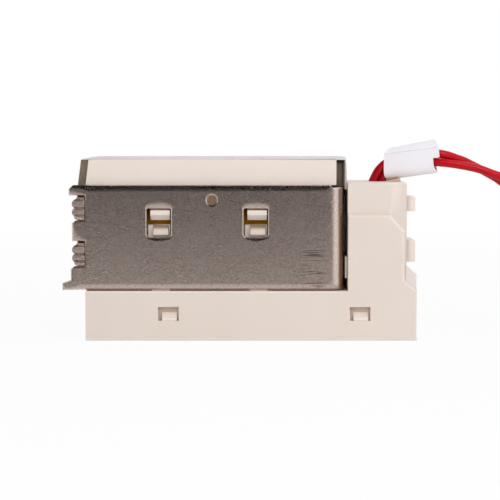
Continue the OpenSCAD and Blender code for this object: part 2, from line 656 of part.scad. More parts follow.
module varistor() color("#2c4f86") {
  translate([tower_mid, varistor_y, board_z1 + 1.5 + varistor_d / 2]) rotate([90, 0, 0])
    cylinder(3.6, varistor_d / 2, varistor_d / 2, center = true);
  for (s = [-1, 1]) translate([tower_mid + s * varistor_d / 4, varistor_y, board_z1])
    cylinder(varistor_d / 2, 0.35, 0.35);
}

module capacitor() color("#24262c") translate([tower_mid, cap_y, board_z1]) {
  cylinder(cap_h, cap_d / 2, cap_d / 2);
}

module lead_terminals() color("#c9b06a") for (x = terminal_xs)
  translate([x, 0, board_z - 0.8]) cylinder(terminal_z1 - board_z + 0.8, 0.6, 0.6);

// Leads

module lead_a() color("#c31420") {
  swept(lead_a_route, lead_d, 8, [0, 1, 0]);
  swept(tail_a_route, lead_d, 8, [0, 0, 1]);
}

module lead_b() color("#c31420") {
  swept(lead_b_route, lead_d, 8, [0, 1, 0]);
  swept(tail_b_route, lead_d, 8, [0, 0, 1]);
}

module marker_sleeve() color("#e4e0e2") translate(sleeve_mid) rotate([0, -sleeve_tilt, sleeve_turn])
  rotate([90, 0, 90]) linear_extrude(sleeve_l, center = true) difference() {
    rotate(90) slot(sleeve_h, sleeve_w);
    rotate(90) slot(sleeve_h - 2 * sleeve_t, sleeve_w - 2 * sleeve_t);
  }

// The rest of both leads, wound up: the inner column stands higher than the outer one
module lead_coil() color("#c31420") translate([hank.x, hank.y, 0]) rotate_extrude() {
  mid = (hank_r[0] + hank_r[1]) / 2;
  polygon([[hank_r[0] - lead_d / 2, hank_z[0]], [hank_r[1] + lead_d / 2, hank_z[0]],
    [hank_r[1] + lead_d / 2, hank_z[2] + lead_d / 2], [mid, hank_z[2] + lead_d / 2],
    [mid, hank_z[1] + lead_d / 2], [hank_r[0] - lead_d / 2, hank_z[1] + lead_d / 2]]);
}

module tie_outline(g) {
  r0 = hank_r[0] - lead_d / 2 - 0.15 - g;
  r1 = hank_r[1] + lead_d / 2 + 0.05 + g;
  polygon([[r0, hank_z[0] - 0.02 - g], [r1, hank_z[0] - 0.02 - g], [r1, hank_z[2] + lead_d / 2 + 0.05 + g],
    [hank_r[0] + lead_d / 2 + 0.2 + g, hank_z[1] + lead_d / 2 + 0.05 + g],
    [r0, hank_z[1] + lead_d / 2 + 0.05 + g]]);
}

module coil_tie() color("#2a2a2c") translate([hank.x, hank.y, 0]) side(-1.2, 1.2) difference() {
  tie_outline(0.43);
  tie_outline(0);
}

// Crimped ends: a plastic collar and a bare tube in line with each tail
function tail_end(t) = t[len(t) - 1];
function tail_turn(t) = let (d = tail_end(t) - t[len(t) - 2]) atan2(d.y, d.x);
module at_tail(t) translate(tail_end(t)) rotate([0, 90, tail_turn(t)]) children();
collar_l = 5;

module ferrule_collars() color("#d9d4d0") for (t = [tail_a_route, tail_b_route]) at_tail(t)
  translate([0, 0, 0.2]) cylinder(collar_l, 1.6, 1.6);

module ferrule_tubes() color("#c8c9cc") for (t = [tail_a_route, tail_b_route]) at_tail(t)
  translate([0, 0, collar_l + 0.2]) cylinder(6, 0.75, 0.75);

base_housing();
bottom_cover();
steel_frame();
end_plate();
top_cover();
top_label();
bobbin();
coil_winding();
coil_tape();
guide_tube();
pole_piece();
return_spring();
plunger();
push_rod();
retaining_ring();
coil_pins();
circuit_board();
rectifier();
varistor();
capacitor();
lead_terminals();
lead_a();
lead_b();
marker_sleeve();
lead_coil();
coil_tie();
ferrule_collars();
ferrule_tubes();
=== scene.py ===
from functools import partial
from math import cos, pi, radians, sin, tan

import bmesh
import bpy
from mathutils import Matrix, Vector
from mathutils.geometry import delaunay_2d_cdt


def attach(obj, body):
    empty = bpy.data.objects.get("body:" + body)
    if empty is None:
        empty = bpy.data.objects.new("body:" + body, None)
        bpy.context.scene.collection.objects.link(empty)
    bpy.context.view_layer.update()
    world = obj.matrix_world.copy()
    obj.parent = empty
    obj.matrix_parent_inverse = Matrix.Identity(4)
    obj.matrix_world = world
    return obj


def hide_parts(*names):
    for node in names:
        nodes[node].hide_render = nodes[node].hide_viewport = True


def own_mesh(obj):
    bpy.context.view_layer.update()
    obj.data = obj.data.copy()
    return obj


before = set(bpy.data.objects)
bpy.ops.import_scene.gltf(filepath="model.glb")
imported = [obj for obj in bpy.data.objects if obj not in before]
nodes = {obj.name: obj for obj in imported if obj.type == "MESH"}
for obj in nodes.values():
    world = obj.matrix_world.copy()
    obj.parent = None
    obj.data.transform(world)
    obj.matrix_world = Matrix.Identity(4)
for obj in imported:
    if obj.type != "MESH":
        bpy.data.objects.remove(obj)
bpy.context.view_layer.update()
scene = bpy.context.scene
scene.view_settings.view_transform = "Standard"
mm = 0.001  # sizes below are in millimetres
print("frame:", len(nodes), "nodes")

# camera and studio

shot = dict(target=(2.5, -15.25, 22.75), distance=450, pitch=3.5, field=125, sensor=36, near=10)


def makeCamera():
    data = bpy.data.cameras.new("camera")
    data.sensor_width = shot["sensor"]
    data.lens = shot["sensor"] * shot["distance"] / shot["field"]
    data.clip_start = shot["near"] * mm
    camera = bpy.data.objects.new("camera", data)
    scene.collection.objects.link(camera)
    pitch = radians(shot["pitch"])
    back = Vector((0, -cos(pitch), sin(pitch)))
    camera.location = (Vector(shot["target"]) + back * shot["distance"]) * mm
    camera.rotation_euler = (pi / 2 - pitch, 0, 0)
    scene.camera = camera


makeCamera()


def linear(code):  # sRGB hex to linear colour
    channels = [int(code[i:i + 2], 16) / 255 for i in (0, 2, 4)]
    return [c / 12.92 if c <= 0.04045 else ((c + 0.055) / 1.055) ** 2.4 for c in channels] + [1]


def perMm(size):  # texture scale for features of this many millimetres
    return 1000 / size


def addNode(tree, kind, sockets=None, **settings):  # one node with its settings and links
    node = tree.nodes.new(kind if "Node" in kind else "ShaderNode" + kind)
    for name, value in settings.items():
        setattr(node, name, value)
    for key, value in (sockets or {}).items():
        if isinstance(value, str):  # a hex code
            value = linear(value)
        if isinstance(value, bpy.types.Node):  # stands for its factor, or else its first live output
            value = value.outputs.get("Fac") or next(s for s in value.outputs if s.enabled)
        if isinstance(value, bpy.types.NodeSocket):
            tree.links.new(value, node.inputs[key])
        else:
            node.inputs[key].default_value = value
    return node


def emptyTree(owner):  # clears the owner's nodes, and returns what adds to them
    owner.use_nodes = True
    owner.node_tree.nodes.clear()
    return partial(addNode, owner.node_tree)


def seenDirectly(add):  # 1 for camera, glossy and transmission rays
    path = add("LightPath").outputs
    first = add("Math", {0: path["Is Camera Ray"], 1: path["Is Glossy Ray"]}, operation="MAXIMUM")
    return add("Math", {0: first, 1: path["Is Transmission Ray"]}, operation="MAXIMUM")


def meshObject(name, mesh, materials=()):
    for material in materials:
        mesh.materials.append(material)
    piece = bpy.data.objects.new(name, mesh)
    scene.collection.objects.link(piece)
    return piece


def meshFrom(bm, name, sharp=None):  # edges over this many degrees are sharp
    mesh = bpy.data.meshes.new(name)
    bm.to_mesh(mesh)
    bm.free()
    if sharp:
        mesh.set_sharp_from_angle(angle=radians(sharp))
    return mesh


def applyModifiers(piece):
    graph = bpy.context.evaluated_depsgraph_get()
    made = bpy.data.meshes.new_from_object(piece.evaluated_get(graph))
    piece.modifiers.clear()
    piece.data = made


def onHousing(piece, node):
    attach(piece, "housing")
    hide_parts(node)
    return piece


def circle(sides):  # cosine and sine at each corner
    return [(cos(2 * pi * k / sides), sin(2 * pi * k / sides)) for k in range(sides)]


studio = dict(ambient=0.5, floor="efedeb", floorHalf=3000, floorWhite=0.93, floorFade=(100, 600))
cards = dict(lift=0.4,
    front=dict(radius=160, centre=20, x=(-165, 74), sweep=(-7, 118), steps=60,
        lip=[(-18, 0.68), (-34, 0.62), (-50, 0.6), (-85, 0.5), (-115, 0.41), (-158, 0.32)],
        rise=[(0, 0.315), (10, 0.275), (20, 0.235), (35, 0.14), (50, 0.06), (65, 0.014), (80, 0.008)]),
    gleam=dict(x=(170, 330), y=-533, z=(390, 540), tone=14.0),
    back=dict(x=(-165, 74), tones=[(18, 0.6), (50, 0.5), (85, 0.4), (115, 0.32), (260, 0.24)]),
    side=dict(x=165, high=90, tones=[(-100, 1.0), (-82, 0.5), (-62, 0.12), (-36, 0.03), (40, 0.03)]))


def fromTable(table, value):
    for (x0, y0), (x1, y1) in zip(table, table[1:]):
        if value <= x1:
            return y0 + (y1 - y0) * max(0, value - x0) / (x1 - x0)
    return table[-1][1]


def cardRows():  # for each card, rows of two points and a tone
    lift, front, side, gleam, back = (cards[key] for key in ("lift", "front", "side", "gleam", "back"))
    left, right = front["x"]
    rows = [((left, y, lift), (right, y, lift), tone) for y, tone in front["lip"]]
    start, stop = front["sweep"]
    for i in range(front["steps"] + 1):
        angle = radians(start + (stop - start) * i / front["steps"])
        y, z = -front["radius"] * cos(angle), front["centre"] + front["radius"] * sin(angle)
        high = z if angle < pi / 2 else front["rise"][-1][0]
        rows.append(((left, y, z), (right, y, z), fromTable(front["rise"], high)))
    return {"card": rows,
            "side card": [((side["x"], y, lift), (side["x"], y, side["high"]), tone) for y, tone in side["tones"]],
            "gleam card": [(*[(x, gleam["y"], z) for x in gleam["x"]], gleam["tone"]) for z in gleam["z"]],
            "back card": [(*[(x, y, lift) for x in back["x"]], tone) for y, tone in back["tones"]]}


def makeCard(name, rows, grey):  # met by glossy rays only
    mesh = bpy.data.meshes.new(name)
    mesh.from_pydata([Vector(p) * mm for row in rows for p in row[:2]], [],
            [(2 * i, 2 * i + 1, 2 * i + 3, 2 * i + 2) for i in range(len(rows) - 1)])
    tones = mesh.attributes.new("tone", "FLOAT", "POINT")
    tones.data.foreach_set("value", [row[2] for row in rows for k in range(2)])
    card = meshObject(name, mesh, [grey])
    card.visible_camera = card.visible_diffuse = card.visible_shadow = card.visible_transmission = False
    return card


def makeStudio():
    scene.world = bpy.data.worlds.new("white studio")
    add = emptyTree(scene.world)
    strength = add("MapRange", {"Value": seenDirectly(add), "To Min": studio["ambient"]})
    add("OutputWorld", {"Surface": add("Background", {"Color": "ffffff", "Strength": strength})})

    # the floor keeps the shadow near the object and runs out into the white room
    paper = bpy.data.materials.new("white paper sweep")
    add = emptyTree(paper)
    matt = add("BsdfDiffuse", {"Color": studio["floor"]})
    glow = add("Emission", {"Color": "ffffff"})
    away = add("VectorMath", {0: add("TexCoord").outputs["Object"]}, operation="LENGTH")
    start, stop = studio["floorFade"]
    fade = add("MapRange", {"Value": away, "From Min": start * mm, "From Max": stop * mm,
            "To Min": studio["floorWhite"]})
    share = add("Math", {0: seenDirectly(add), 1: fade}, operation="MULTIPLY")
    add("OutputMaterial", {"Surface": add("MixShader", {0: share, 1: matt, 2: glow})})
    mesh, half = bpy.data.meshes.new("floor"), studio["floorHalf"] * mm
    mesh.from_pydata([(-half, -half, 0), (half, -half, 0), (half, half, 0), (-half, half, 0)], [], [(0, 1, 2, 3)])
    floor = meshObject("floor", mesh, [paper])

    # grey cards: one lies in front and curves up and overhead, one stands to the right, one lies behind;
    # a small bright one gleams on the leads
    grey = bpy.data.materials.new("grey reflection card")
    add = emptyTree(grey)
    tone = add("Attribute", attribute_name="tone").outputs["Color"]
    add("OutputMaterial", {"Surface": add("Emission", {"Color": tone})})
    [makeCard(name, rows, grey) for name, rows in cardRows().items()]


lamps = dict(key=dict(at=(180, -540, 420), size=420, power=1.15),
    fill=dict(at=(-320, -560, 230), size=420, power=0.3),
    low=dict(at=(0, -600, 60), size=300, power=0.35),
    right=dict(at=(560, -220, 230), size=400, power=0.85),
    top=dict(at=(20, 40, 620), size=520, power=0.55))
lampAim = (0, 0, 22)


def makeLamps():
    for name, spec in lamps.items():
        data = bpy.data.lights.new(name, "AREA")
        data.shape = "DISK"
        data.size = spec["size"] * mm
        data.energy = spec["power"]
        lamp = bpy.data.objects.new(name, data)
        scene.collection.objects.link(lamp)
        lamp.visible_glossy = False  # the cards and the white room are what gloss shows
        lamp.location = Vector(spec["at"]) * mm
        lamp.rotation_euler = (Vector(lampAim) * mm - lamp.location).to_track_quat("-Z", "Y").to_euler()


makeStudio()
makeLamps()
print("studio ready")

# materials


def startMaterial(name):  # what adds to its nodes, and the place on the object
    made = bpy.data.materials.new(name)
    add = emptyTree(made)
    return made, add, add("TexCoord").outputs["Object"]


def closeMaterial(made, add, sockets):
    add("OutputMaterial", {"Surface": add("BsdfPrincipled", sockets)})
    return made


def makeFinish(name, dark, light, cloud, fine, height, rough, metallic=0, rings=None, shade=None, coat=0):
    # clouds of tone and gloss over a fine skin
    made, add, where = startMaterial(name)
    clouds = add("TexNoise", {"Vector": where, "Scale": perMm(cloud), "Detail": 4, "Roughness": 0.6})
    tone = add("Mix", {0: clouds, 6: dark, 7: light}, data_type="RGBA")
    # painted shade: the shade option darkens a colour towards a height
    if shade:  # a tone that sets in with height
        start, stop, code = shade
        up = add("SeparateXYZ", {"Vector": where}).outputs["Z"]
        share = add("MapRange", {"Value": up, "From Min": start * mm, "From Max": stop * mm})
        tone = add("Mix", {0: share, 6: tone, 7: code}, data_type="RGBA")
    low, high = rough
    gloss = add("MapRange", {"Value": clouds, "From Min": 0.3, "From Max": 0.7, "To Min": low, "To Max": high})
    relief = add("TexNoise", {"Vector": where, "Scale": perMm(fine), "Detail": 2})
    if rings:  # the wave node has about 20 times as many bands as its scale says
        turned = add("TexWave", {"Vector": where, "Scale": perMm(rings) / 20, "Distortion": 0.6, "Detail": 1})
        relief = add("Math", {0: relief, 1: turned}, operation="ADD")
    bump = add("Bump", {"Height": relief, "Distance": height * mm})
    return closeMaterial(made, add, {"Base Color": tone, "Roughness": gloss, "Normal": bump,
            "Metallic": metallic, "Coat Weight": coat})


# moulded resin: an even colour with slow clouds, and a very fine spark-eroded grain
moulded = partial(makeFinish, cloud=9, fine=0.3, height=0.004, rough=(0.4, 0.5))
# drawn, turned or plated metal: tone clouds, an uneven skin, and tool rings where it was turned
metal = partial(makeFinish, cloud=6, fine=0.5, height=0.012, rough=(0.28, 0.4), metallic=1)


def nickelSkin():
    # satin nickel over rolled sheet: warm grey, an even orange peel, bright nicks,
    # and dark die lines beside a bend, with painted shade on the bend's far side
    made, add, where = startMaterial("satin nickel plate")
    at = add("SeparateXYZ", {"Vector": where}).outputs
    sand = add("TexNoise", {"Vector": where, "Scale": perMm(0.4), "Detail": 2, "Roughness": 0.6})
    spread = add("MapRange", {"Value": sand, "From Min": 0.3, "From Max": 0.7})
    tone = add("Mix", {0: spread, 6: "c8b2a7", 7: "ead9d0"}, data_type="RGBA")
    nicks = add("TexNoise", {"Vector": where, "Scale": perMm(0.6), "Detail": 1})
    share = add("MapRange", {"Value": nicks, "From Min": 0.73, "From Max": 0.77})
    tone = add("Mix", {0: share, 6: tone, 7: "f4ece6"}, data_type="RGBA")
    leaning = add("Mapping", {"Vector": where, "Rotation": (0, radians(-18), 0),
            "Scale": (perMm(0.85), perMm(0.85), perMm(0.5))})
    peel = add("TexNoise", {"Vector": leaning, "Scale": 1, "Detail": 2, "Roughness": 0.55, "Distortion": 0.5})
    drawn = add("Mapping", {"Vector": where, "Scale": (perMm(9), perMm(9), perMm(0.55))})
    lines = add("TexNoise", {"Vector": drawn, "Scale": 1, "Detail": 1})
    drag = add("MapRange", {"Value": lines, "From Min": 0.54, "From Max": 0.62})
    for axis, start, stop, most in (("X", 14.5, 17.5, 1), ("X", 22, 19.5, 1), ("Z", 25.5, 22, 0.8)):
        mask = add("MapRange", {"Value": at[axis], "From Min": start * mm, "From Max": stop * mm, "To Max": most})
        drag = add("Math", {0: drag, 1: mask}, operation="MULTIPLY")
    tone = add("Mix", {0: drag, 6: tone, 7: "8e7b70"}, data_type="RGBA")
    below = add("MapRange", {"Value": at["Z"], "From Min": 38.9 * mm, "From Max": 38.3 * mm})
    # painted shade: the bend darkens towards the end wall, where the gap by the tower shades it
    for start, stop, code in ((24.75, 25.95, "9a8270"), (25.55, 26.3, "22140d")):
        bent = add("MapRange", {"Value": at["X"], "From Min": start * mm, "From Max": stop * mm})
        bent = add("Math", {0: bent, 1: below}, operation="MULTIPLY")
        tone = add("Mix", {0: bent, 6: tone, 7: code}, data_type="RGBA")
    # painted shaded reflection: the bend's gloss is tinted brown there
    rim = add("Mix", {0: bent, 6: "ffffff", 7: "6b3c1e"}, data_type="RGBA")
    clouds = add("TexNoise", {"Vector": where, "Scale": perMm(7), "Detail": 4, "Roughness": 0.6})
    gloss = add("MapRange", {"Value": clouds, "From Min": 0.3, "From Max": 0.7, "To Min": 0.25, "To Max": 0.31})
    relief = add("Math", {0: peel, 1: drag}, operation="SUBTRACT")
    bump = add("Bump", {"Height": relief, "Distance": 0.045 * mm})
    return closeMaterial(made, add, {"Base Color": tone, "Specular Tint": rim, "Roughness": gloss, "Normal": bump,
            "Metallic": 1})


creamNylon = moulded("cream glass filled nylon", "e0d3c9", "e8dcd3", cloud=14)
coverNylon = moulded("pale cream nylon", "e8dbd1", "f0e4db", cloud=14)
# painted shade: a darker copy of the cream for pockets, clip arms and the arms behind the hooks
deepNylon = moulded("warm nylon in a recess", "ccb7a8", "d5c2b4")
# painted light: a paler copy for the hooks' slopes, where light catches them
hookNylon = moulded("pale hook", "ede2d5", "f3e9dd")
# painted shade and painted reflection: a darker cream that turns olive towards the top, as the tape above reflects
# into the shaded clips
clipNylon = moulded("clip nylon, yellowed by the tape above", "d8cbc0", "dfd3c9", shade=(27.6, 28.5, "9c8467"))
whiteNylon = moulded("white moulded nylon", "ddd4cf", "e7dfdb", cloud=12)
# painted shade: a brown copy of the cream for the lip under the sleeve and the tower's side in the gap
tanNylon = moulded("tan collar", "cba88f", "d8b9a4")
blackNylon = moulded("black nylon", "1d1d1f", "2a2a2c", rough=(0.35, 0.5))
greyCollar = moulded("grey polypropylene collar", "b9b3ad", "c9c4bf")
blackEpoxy = moulded("black moulding epoxy", "17181a", "222326", fine=0.2, rough=(0.5, 0.65))
blueEpoxy = moulded("dipped blue epoxy", "1f3f78", "2c5390", fine=1.2, rough=(0.15, 0.25), coat=0.5)
canSleeve = moulded("shrunk can sleeve", "1b1d22", "272a30", rough=(0.2, 0.3))
nickelPlate = nickelSkin()
cutSteel = metal("sheared steel edge", "84756a", "9d8f84", fine=0.25, height=0.02, rough=(0.42, 0.55))
pressedSteel = metal("rubbed press mark", "dcb298", "e8c0a8", fine=0.25, height=0.02, rough=(0.4, 0.5))
yellowZinc = metal("yellow passivated zinc", "ac9984", "c0ac98", fine=0.3, rough=(0.36, 0.46), metallic=0.68)
stakedZinc = metal("hammered zinc tab", "cbb6aa", "e5d3c9", fine=0.7, height=0.16, rough=(0.28, 0.38), metallic=0.85)
softIron = metal("turned soft iron", "a9aaac", "bcbdbf", rings=0.25, height=0.006)
springSteel = metal("drawn spring steel", "b6b7b9", "cacbcd", fine=0.2, height=0.003, rough=(0.2, 0.3))
darkSteel = metal("phosphated steel", "4a4b4d", "5b5c5f", rough=(0.45, 0.6))
brass = metal("drawn brass", "c9a557", "d9b96c", fine=0.4, height=0.004, rough=(0.22, 0.34))
tinnedCopper = metal("tinned copper", "c6c6c9", "d8d8db", fine=0.3, height=0.006, rough=(0.25, 0.38))
copperWire = metal("enamelled copper wire", "a85a2a", "bd6f3a", rings=0.4, height=0.05, rough=(0.2, 0.3))


def polyesterTape():
    # olive yellow adhesive tape: glossy, with faint wind lines around the coil
    made, add, where = startMaterial("polyester tape")
    wound = add("Mapping", {"Vector": where, "Scale": (perMm(0.8), perMm(20), perMm(20))})
    lines = add("TexNoise", {"Vector": wound, "Scale": 1, "Detail": 2})
    tone = add("Mix", {0: lines, 6: "b07800", 7: "c38800"}, data_type="RGBA")
    bump = add("Bump", {"Height": lines, "Distance": 0.01 * mm})
    return closeMaterial(made, add, {"Base Color": tone, "Normal": bump, "Roughness": 0.3, "Specular IOR Level": 0.2})


def labelFilm():
    # blank white film: cool, slightly glossy, with soft handling smudges, and painted shade on the folded end
    made, add, where = startMaterial("blank label film")
    smudge = add("TexNoise", {"Vector": where, "Scale": perMm(4), "Detail": 5, "Roughness": 0.65})
    share = add("MapRange", {"Value": smudge, "From Min": 0.45, "From Max": 0.75})
    tone = add("Mix", {0: share, 6: "ded9dc", 7: "d5d0d4"}, data_type="RGBA")
    # painted shade: the folded end is greyed towards its foot
    at = add("SeparateXYZ", {"Vector": where}).outputs
    aside = add("Math", {0: at["Y"]}, operation="ABSOLUTE")
    rim = add("Math", {0: aside, 1: 12.2 * mm}, operation="GREATER_THAN")
    fold = add("MapRange", {"Value": at["Z"], "From Min": 45.3 * mm, "From Max": 44.3 * mm})
    soil = add("Math", {0: rim, 1: fold}, operation="MULTIPLY")
    tone = add("Mix", {0: soil, 6: tone, 7: "b9ada8"}, data_type="RGBA")
    gloss = add("MapRange", {"Value": smudge, "To Min": 0.3, "To Max": 0.5})
    return closeMaterial(made, add, {"Base Color": tone, "Roughness": gloss})


def redInsulation():
    # red PVC drawn over the strands: glossy, with fine streaks along the lead, and painted shade near the outlet
    made, add, _ = startMaterial("red PVC insulation")
    along = add("UVMap", uv_map="run")
    drawn = add("Mapping", {"Vector": along, "Scale": (perMm(60), 6.0, 1.0)})
    streak = add("TexNoise", {"Vector": drawn, "Scale": 1, "Detail": 3})
    tone = add("Mix", {0: streak, 6: "b20012", 7: "c8041c"}, data_type="RGBA")
    # painted shade: darker along the run near the outlet, where the sleeve shades the lead
    run = add("SeparateXYZ", {"Vector": along}).outputs["X"]
    near = add("MapRange", {"Value": run, "From Min": 44 * mm, "From Max": 28 * mm})
    tone = add("Mix", {0: near, 6: tone, 7: "9c0016"}, data_type="RGBA")
    gloss = add("MapRange", {"Value": streak, "To Min": 0.2, "To Max": 0.3})
    bump = add("Bump", {"Height": streak, "Distance": 0.004 * mm})
    return closeMaterial(made, add, {"Base Color": tone, "Roughness": gloss, "Normal": bump,
            "Specular IOR Level": 0.22})


def sleeveFilm():
    # soft white marker sleeve: matt, faintly lilac, with shallow wrinkles across it
    made, add, where = startMaterial("soft white sleeve")
    folds = add("TexNoise", {"Vector": where, "Scale": perMm(5), "Detail": 3})
    tone = add("Mix", {0: folds, 6: "f3f1f9", 7: "fbfaff"}, data_type="RGBA")
    bump = add("Bump", {"Height": folds, "Distance": 0.12 * mm})
    return closeMaterial(made, add, {"Base Color": tone, "Normal": bump, "Roughness": 0.5})


def solderMask():
    # green board: glossy mask over a faint glass weave
    made, add, where = startMaterial("green solder mask")
    weave = add("TexChecker", {"Vector": where, "Scale": perMm(0.5)})
    cloud = add("TexNoise", {"Vector": where, "Scale": perMm(5), "Detail": 3})
    tone = add("Mix", {0: cloud, 6: "1d5a36", 7: "2c7048"}, data_type="RGBA")
    bump = add("Bump", {"Height": weave, "Strength": 0.4, "Distance": 0.01 * mm})
    return closeMaterial(made, add, {"Base Color": tone, "Normal": bump, "Roughness": 0.3})


tapeFilm, labelWhite, redPvc = polyesterTape(), labelFilm(), redInsulation()
sleeveWhite, greenMask = sleeveFilm(), solderMask()
print("materials:", len(bpy.data.materials))

# leads

leads = dict(diameter=2.15, sides=18, hank=(97, 11), floor=1.45, perTurn=24, smooth=3,
    a=dict(route=[(32.8, 0, 14), (32.8, 0, 20), (32.8, 0, 26), (32.8, 0, 31), (32.95, 0, 35),
        (33.4, -0.37, 37.8), (34.08, -0.37, 39.5), (34.88, -0.3, 41.25), (35.85, 0, 42.75),
        (37.55, 0.3, 44.25), (40.5, -0.2, 45.7), (44, -1, 46.65), (48, -2.2, 46.98),
        (51.4, -2.6, 46.64), (53.3, -2.4, 46.24), (55.5, -1.9, 45.5), (57.5, -1.4, 44.8),
        (59.5, -1.2, 43.8), (61.8, -1.1, 42.7), (63.4, -1.1, 41.8), (65.4, -1.1, 40.7),
        (67, -1, 39.6), (70, -0.7, 37.3), (73, -0.3, 34.5), (75.8, 0.1, 31.2), (78.3, 0.5, 27.7),
        (80.6, 0.9, 24.2), (83, 1, 20.7), (86, 1, 17.4), (89.4, 1, 15), (93, 1, 13.5), (97, 1, 13)],
        turns=5.5, radius=10, top=13, exit=(34.2, 0, 39.6),
        tail=[(97, 21, 1.45), (92.5, 21, 1.3), (88, 21, 1.25), (85, 21, 1.6)]),
    b=dict(route=[(35.1, 0, 14), (35.1, 0, 20), (35.1, 0, 26), (35.1, 0, 31), (35.3, 0, 35),
        (35.7, 0.37, 37.8), (36.37, 0.37, 39.5), (37.15, 0.4, 41.05), (38.8, 0.3, 42.6),
        (42, -0.7, 43.8), (46, -1.9, 44.5), (49.4, -3.1, 44.57), (51.4, -3.4, 44.46),
        (54.8, -3.5, 44.06), (58.6, -3.4, 43.4), (61.8, -3.3, 42.6), (64.4, -3.3, 41.6),
        (66.7, -3.2, 40.8), (69.5, -3, 39.2), (72.6, -2.6, 36.4), (75.4, -2.2, 33),
        (77.9, -1.8, 29), (80.2, -1.4, 24.6), (82.7, -1.1, 20), (85.7, -1.1, 16),
        (89.2, -1.1, 13), (93, -1.1, 11.4), (97, -1.1, 10.9)],
        turns=4.5, radius=12.1, top=10.9, exit=(36.6, 0, 39.6),
        tail=[(97, 23.1, 1.45), (93, 23.2, 1.45), (89.5, 23.9, 1.5), (86, 25, 1.6)]))


def smoothLine(points, steps):  # Catmull-Rom through the points
    points = [Vector(p) for p in points]
    ends = [2 * points[0] - points[1]] + points + [2 * points[-1] - points[-2]]
    line = []
    for i in range(1, len(ends) - 2):
        p0, p1, p2, p3 = ends[i - 1:i + 3]
        for k in range(steps):
            t = k / steps
            line.append(0.5 * (2 * p1 + (p2 - p0) * t + (2 * p0 - 5 * p1 + 4 * p2 - p3) * t * t
                    + (3 * p1 - p0 - 3 * p2 + p3) * t * t * t))
    return line + [points[-1]]


def leadLine(spec):
    count = round(spec["turns"] * leads["perTurn"])
    x, y = leads["hank"]
    helix = []
    for i in range(1, count):
        angle = -pi / 2 + 2 * pi * spec["turns"] * i / count
        drop = (spec["top"] - leads["floor"]) * i / count
        helix.append((x + spec["radius"] * cos(angle), y + spec["radius"] * sin(angle), spec["top"] - drop))
    return [p * mm for p in smoothLine(spec["route"] + helix + spec["tail"], leads["smooth"])]


def tubeMesh(name, line, radius, sides):  # closed tube with a UV map that runs along it
    bm = bmesh.new()
    run = bm.loops.layers.uv.new("run")
    normal = Vector((0, 1, 0))
    rings, length = [], 0
    for i, p in enumerate(line):
        heading = (line[min(i + 1, len(line) - 1)] - line[max(i - 1, 0)]).normalized()
        normal = (normal - heading * normal.dot(heading)).normalized()
        across = heading.cross(normal)
        length += (p - line[i - 1]).length if i else 0
        rings.append((length, [bm.verts.new(p + radius * (c * normal + s * across)) for c, s in circle(sides)]))
    for (u0, low), (u1, high) in zip(rings, rings[1:]):
        for k in range(sides):
            n = (k + 1) % sides
            face = bm.faces.new((low[k], low[n], high[n], high[k]))
            face.smooth = True
            for loop, (u, v) in zip(face.loops, ((u0, k), (u0, k + 1), (u1, k + 1), (u1, k))):
                loop[run].uv = (u, v / sides)
    bm.faces.new(rings[0][1][::-1])
    bm.faces.new(rings[-1][1])
    return meshFrom(bm, name), length


ferrule = dict(gap=0.2, collar=5, radius=1.6, mouth=1.15, soft=0.15, lip=0.1, tube=6,
    tubeRadius=0.75, crimps=(1.5, 3.1), crimpHalf=0.3, crimpDeep=0.06, round=0.12, wall=0.25,
    hollow=0.3, sides=28)


def latheMesh(name, profile, place):  # (along, radius) turned about the local X axis
    bm, sides = bmesh.new(), ferrule["sides"]
    rings = []
    for along, radius in profile:
        spots = circle(sides) if radius else [(0, 0)]
        rings.append([bm.verts.new(place @ (Vector((along, radius * c, radius * s)) * mm)) for c, s in spots])
    for low, high in zip(rings, rings[1:]):
        for k in range(sides):
            n = (k + 1) % sides
            corners = [low[k % len(low)], low[n % len(low)], high[n % len(high)], high[k % len(high)]]
            bm.faces.new(list(dict.fromkeys(corners))).smooth = True
    bmesh.ops.recalc_face_normals(bm, faces=bm.faces)
    return meshFrom(bm, name, 35)


def makeFerrule(key, place):
    f = ferrule
    g, r, m, t = f["gap"], f["radius"], f["mouth"], f["tubeRadius"]
    near, end = g + f["collar"], g + f["collar"] + f["tube"]
    outline = [(g, 0), (g, r - f["soft"]), (g + f["soft"], r), (g + 0.55 * f["collar"], r), (g + 0.8 * f["collar"], m),
            (near - f["lip"], m), (near, m - f["lip"]), (near, 0)]
    collar = meshObject("ferrule_collar_" + key, latheMesh("collar_" + key, outline, place), [greyCollar])
    outline = [(near, 0), (near, t)]
    for at in f["crimps"]:
        outline += [(near + at - f["crimpHalf"], t), (near + at, t - f["crimpDeep"]), (near + at + f["crimpHalf"], t)]
    outline += [(end - f["round"], t), (end, t - f["round"]), (end, t - f["wall"]), (end - f["hollow"], t - f["wall"]),
            (end - f["hollow"], 0)]
    tube = meshObject("ferrule_tube_" + key, latheMesh("tube_" + key, outline, place), [tinnedCopper])
    return [onHousing(collar, "ferrule_collars"), onHousing(tube, "ferrule_tubes")]


def makeLeads():
    for key in "ab":
        spec = leads[key]
        line = leadLine(spec)
        mesh, length = tubeMesh("lead_" + key, line, leads["diameter"] / 2 * mm, leads["sides"])
        wire = onHousing(meshObject("red_lead_" + key, mesh, [redPvc]), "lead_" + key)
        heading = (line[-1] - line[-4]).normalized()
        heading = Vector((heading.x, heading.y, 0)).normalized()
        side = Vector((0, 0, 1)).cross(heading)
        place = Matrix.Translation(line[-1]) @ Matrix((heading, side, (0, 0, 1))).transposed().to_4x4()
        fittings = makeFerrule(key, place)
        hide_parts("lead_coil")
        print("lead", key, "is", round(length, 3), "m long")


# marker sleeve on both leads

sleeve = dict(mid=(44.2, -1.3, 45.25), tilt=9.5, turn=-18, length=12.8, height=8.3, width=4.4,
    wall=0.35, stations=13, crease=(2.6, 1.9), cut=(1.0, 0.45), cutNear=0.3, flap=1.9,
    flapLow=-0.6, backShort=1.5, taperTop=0.06, taperLow=0.07)


